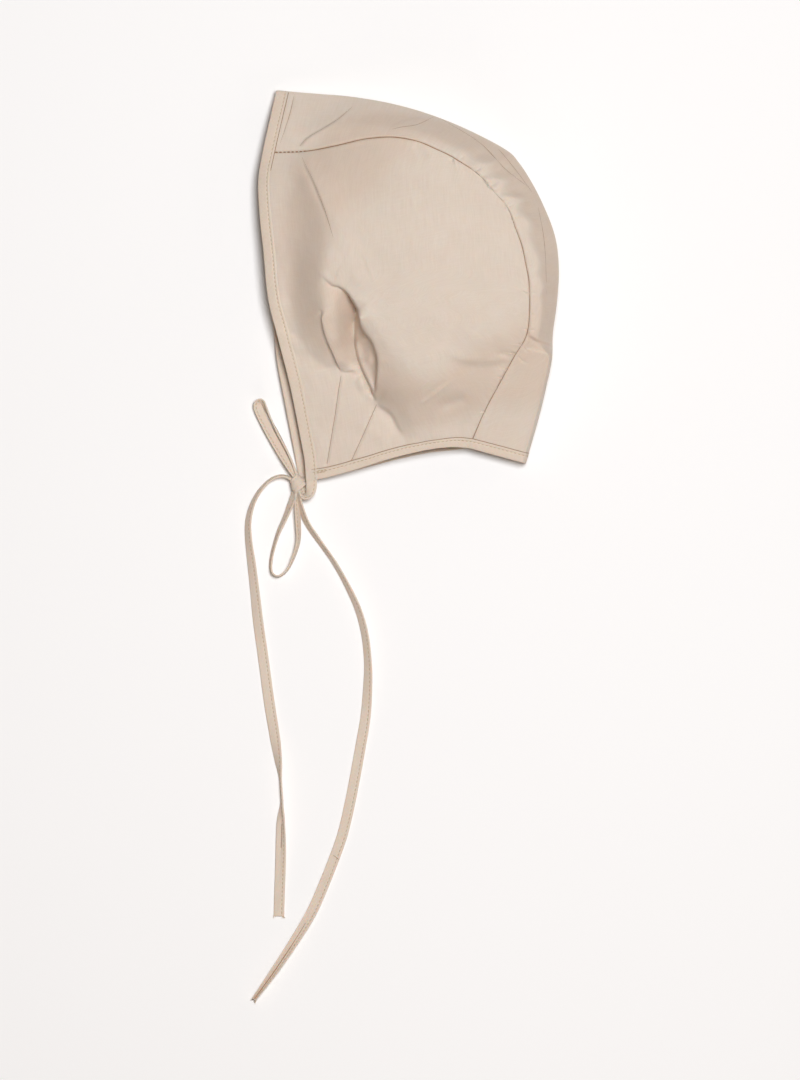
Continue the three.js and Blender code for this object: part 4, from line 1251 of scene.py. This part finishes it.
class Finish:
    """A material's node graph."""

    def __init__(self, name):
        self.material = bpy.data.materials.new(name)
        self.material.use_nodes = True
        self.tree = self.material.node_tree
        self.shader = self.tree.nodes["Principled BSDF"]

    def node(self, kind, settings, values, output=0):
        node = self.tree.nodes.new(kind)
        for name, value in settings.items():
            setattr(node, name, value)
        for key, value in values.items():
            self.feed(node.inputs[key], value)
        return Socket(self, node.outputs[output])

    def feed(self, target, value):
        if isinstance(value, Socket):
            self.tree.links.new(value.socket, target)
        else:
            target.default_value = value

    def set(self, **values):
        for name, value in values.items():
            self.feed(self.shader.inputs[name.replace("_", " ")], value)

    def object_place(self):
        return self.node("ShaderNodeTexCoord", {}, {}, 3)

    def noise(self, place, scale, detail, roughness=0.5):
        inputs = {"Vector": place, "Scale": scale, "Detail": detail, "Roughness": roughness}
        return self.node("ShaderNodeTexNoise", {}, inputs)

    def mix(self, share, low, high, blend="MIX"):
        settings = {"data_type": "RGBA", "blend_type": blend}
        return self.node("ShaderNodeMix", settings, {0: share, 6: low, 7: high}, 2)


def colour(red, green, blue):
    """A colour given as sRGB steps of 255, made linear."""
    def linear(step):
        c = step / 255
        return c / 12.92 if c <= 0.04045 else ((c + 0.055) / 1.055) ** 2.4
    return (linear(red), linear(green), linear(blue), 1.0)


# The weave, in millimetres, and how much each of its parts raises the cloth
WEAVE = {"pitch": 0.36, "threads": 0.03, "slubs": 0.25, "streaks": 0.35}
# Painted shade: multiplied into the cloth's colour where it slopes, between two heights
PAINTED_SLOPE_SHADE = (0.972, 0.932, 0.905, 1)


def woven(name, light, dark, bias=0.0, painted_shade_between=None):
    """Plain-woven cotton: threads over and under each other, soft slubs and a little fuzz. Between two
    heights, each a start and an end, its colour is darkened and warmed a little: painted shade on its slopes."""
    finish = Finish(name)
    place = finish.node("ShaderNodeUVMap", {}, {})
    if bias:
        place = finish.node("ShaderNodeMapping", {}, {"Vector": place, "Rotation": (0, 0, bias)})
    across, along = (finish.node("ShaderNodeSeparateXYZ", {}, {0: place}, axis) for axis in (0, 1))
    turns = 2 * math.pi / WEAVE["pitch"]
    threads = (across * turns).sine() * (along * turns).sine()
    slub = finish.noise(place, 0.9, 3.0, 0.6)
    spot = finish.object_place()
    cloud = finish.noise(spot, 38.0, 4.0, 0.55)
    streaks = []
    for stretch in ((1.5, 0.10, 1.0), (0.10, 1.5, 1.0)):
        stretched = finish.node("ShaderNodeMapping", {}, {"Vector": place, "Scale": stretch})
        streaks.append(finish.noise(stretched, 1.0, 2.0))
    grain = streaks[0] * 0.6 + streaks[1] * 0.4
    base = finish.mix(cloud * 0.5 + slub * 0.25 + threads * 0.04 + (grain - 0.5) * 1.1 + 0.1, dark, light)
    # Painted shade: darker and warmer between the two heights, on the slopes of the dome and band
    if painted_shade_between:
        level = finish.node("ShaderNodeSeparateXYZ", {}, {0: spot}, 2)
        ease = {"interpolation_type": "SMOOTHSTEP"}
        low, high = (finish.node("ShaderNodeMapRange", ease, {0: level, 1: start, 2: end})
                     for start, end in painted_shade_between)
        base = finish.mix(low - high, base, PAINTED_SLOPE_SHADE, "MULTIPLY")
    height = threads * WEAVE["threads"] + slub * WEAVE["slubs"] + grain * WEAVE["streaks"]
    bump = finish.node("ShaderNodeBump", {}, {"Strength": 0.55, "Distance": 0.0002, "Height": height})
    finish.set(Base_Color=base, Roughness=0.84 + slub * 0.1, Normal=bump, Specular_IOR_Level=0.12,
               Subsurface_Weight=0.4, Subsurface_Radius=(1.0, 0.5, 0.3), Subsurface_Scale=0.001,
               Sheen_Weight=0.05, Sheen_Roughness=0.5)
    return finish.material


def thread(name, light, dark):
    """Sewing thread: two plies twisted, a little smoother than the cloth. The same finish serves the dark
    lines of painted shade.
    """
    finish = Finish(name)
    cloud = finish.noise(finish.object_place(), 900.0, 2.0)
    finish.set(Base_Color=finish.mix(cloud, dark, light), Roughness=0.7 + cloud * 0.1, Specular_IOR_Level=0.3)
    return finish.material


def dress(piece, material, nodes=()):
    """Gives a piece its material and body, and hides the CAD nodes that it stands for."""
    piece.data.materials.clear()
    piece.data.materials.append(material)
    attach(piece, "root")
    if nodes:
        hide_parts(*nodes)


# The stage, lights and camera

PHOTO = {"width": 800, "height": 1080, "mm_per_pixel": 0.5, "x0": 408.2, "y0": 286.0}
FLOOR = {"size": 6, "height": -0.0002, "dark": (0.965, 0.96, 0.95, 1), "light": (0.98, 0.975, 0.97, 1)}
CAMERA_HEIGHT = 12.0          # so far off that heights hardly spread the picture
SENSOR = 24
# Place, target, size, power and tint of each light
LIGHTS = {
    "overhead softbox": ((0.2, 0.18, 2.0), (-0.01, -0.05, 0), 0.6, 36.2, (0.97, 0.98, 1.0)),
    "right fill": ((1.7, 0.7, 0.6), (0, 0, 0), 1.0, 1.1, (1.0, 0.93, 0.86)),
    "low fill": ((0.1, -1.4, 0.9), (0, -0.05, 0), 1.0, 2.6, (1.0, 0.90, 0.83)),
}
WORLD = {"Color": (1.0, 0.78, 0.62, 1), "Strength": 0.11}


def stage():
    deselect()
    bpy.ops.mesh.primitive_plane_add(size=FLOOR["size"], location=(0, 0, FLOOR["height"]))
    floor = bpy.context.object
    floor.name = "floor"
    finish = Finish("pale floor")
    grain = finish.noise(finish.object_place(), 3.0, 3.0)
    finish.set(Base_Color=finish.mix(grain, FLOOR["dark"], FLOOR["light"]), Roughness=0.9,
               Specular_IOR_Level=0.1)
    floor.data.materials.append(finish.material)


def lights():
    for name, (place, target, size, power, tint) in LIGHTS.items():
        light = bpy.data.lights.new(name, "AREA")
        light.shape = "DISK"
        light.size = size
        light.energy = power
        light.color = tint
        lamp = placed(name, light)
        lamp.location = place
        aim = np.array(target) - np.array(place)
        yaw = math.atan2(aim[1], aim[0])
        pitch = math.acos(-aim[2] / np.linalg.norm(aim))
        lamp.rotation_euler = (pitch, 0, yaw - math.pi / 2)
    world = bpy.data.worlds.new("studio")
    world.use_nodes = True
    for name, value in WORLD.items():
        world.node_tree.nodes["Background"].inputs[name].default_value = value
    bpy.context.scene.world = world
    bpy.context.scene.view_settings.view_transform = "Standard"


def camera():
    """Straight above, over the middle of the photo's frame."""
    pixel = PHOTO["mm_per_pixel"] * MM
    data = bpy.data.cameras.new("camera")
    data.sensor_fit = "VERTICAL"
    data.sensor_height = SENSOR
    data.lens = SENSOR / (PHOTO["height"] * pixel / CAMERA_HEIGHT)
    data.clip_end = 30
    view = placed("camera", data)
    view.location = ((PHOTO["width"] / 2 - PHOTO["x0"]) * pixel, (PHOTO["y0"] - PHOTO["height"] / 2) * pixel,
                     CAMERA_HEIGHT)
    view.rotation_euler = (0, 0, 0)
    bpy.context.scene.camera = view


camera()

# The poplin takes painted shade between these heights, in metres
POPLIN = woven("beige poplin", colour(227, 215, 202), colour(212, 196, 180),
               painted_shade_between=((0.020, 0.027), (0.040, 0.046)))
TAPE = woven("beige bias tape", colour(229, 215, 200), colour(214, 197, 179), bias=math.radians(45))
# Sewing thread in its own yellowish tone, darkened a little as painted shade of the stitch holes
SEWING_WITH_SHADE = thread("sewing thread darkened as painted shade", colour(205, 183, 152), colour(178, 152, 120))
FRAY = thread("loose weave thread", colour(232, 215, 190), colour(212, 192, 164))
EDGE_SHADE = thread("shade at a folded edge", colour(176, 144, 118), colour(154, 122, 96))
# Painted shade: a dark brown line laid in the seam, the darts, the crown crease and the ties' folds and joint
SEAM_AND_CREASE_SHADE = thread("dark thread painted as shade in seams and creases", colour(168, 132, 104), colour(144, 107, 80))

CORDS = {
    "tie_left": (("tie_left_lead", "tie_left_loop", "tie_left_tail"), 11),
    "tie_right": (("tie_right_lead", "tie_right_loop", "tie_right_tail"), 12),
}
# Frayed ends are loose threads; fold and joint lines are painted shade
TIE_THREADS_AND_SHADE = {"frayed_end": FRAY, "fold_line": SEAM_AND_CREASE_SHADE, "joint": SEAM_AND_CREASE_SHADE}


def thread_or_shade_of(piece):
    """The thread, or the dark line of painted shade, that a small piece of a tie is made of."""
    return next((made for ending, made in TIE_THREADS_AND_SHADE.items() if piece.name.endswith(ending)), SEWING_WITH_SHADE)


knot, knot_under = (knot_turn(turn_name) for turn_name in KNOT_TURNS)
dress(knot, TAPE, ("bow_knot",))
dress(knot_under, TAPE, ())
for tie_name, (tie_nodes, tie_seed) in CORDS.items():
    tie, small_pieces, route, run = make_tie(tie_name, tie_seed)
    dress(tie, TAPE, tie_nodes)
    for small_piece in small_pieces:
        dress(small_piece, thread_or_shade_of(small_piece), ())
    tuple(route[0] * MM)
    round(run * MM, 3)
    (route[::3] * MM).tolist()

left_panel, left_points = make_upper_panel()
dress(left_panel, POPLIN, ("side_panel_left",))
right_panel = make_lower_panel()
dress(right_panel, POPLIN, ("side_panel_right",))
band, band_points = make_band()
dress(band, POPLIN, ("crown_band",))

BINDINGS = {
    "face_binding": (face_strip, BINDING_WIDTH, 21),
    "neck_binding": (neck_strip, NECK_BINDING_WIDTH, 22),
}
for edge_node, (strip, tape_width, edge_seed) in BINDINGS.items():
    tape, stitch_pieces, shade_line = make_binding(f"{edge_node}_tape", strip(), tape_width, edge_seed)
    dress(tape, TAPE, (edge_node,))
    for stitch_piece in stitch_pieces:
        dress(stitch_piece, SEWING_WITH_SHADE, ())
    dress(shade_line, EDGE_SHADE, ())

# Dark lines of painted shade in the seam, the darts and the creases
for line_piece in seam_lines(left_points, band_points):
    dress(line_piece, EDGE_SHADE if line_piece.name.startswith("band") else SEAM_AND_CREASE_SHADE)

stage()
lights()
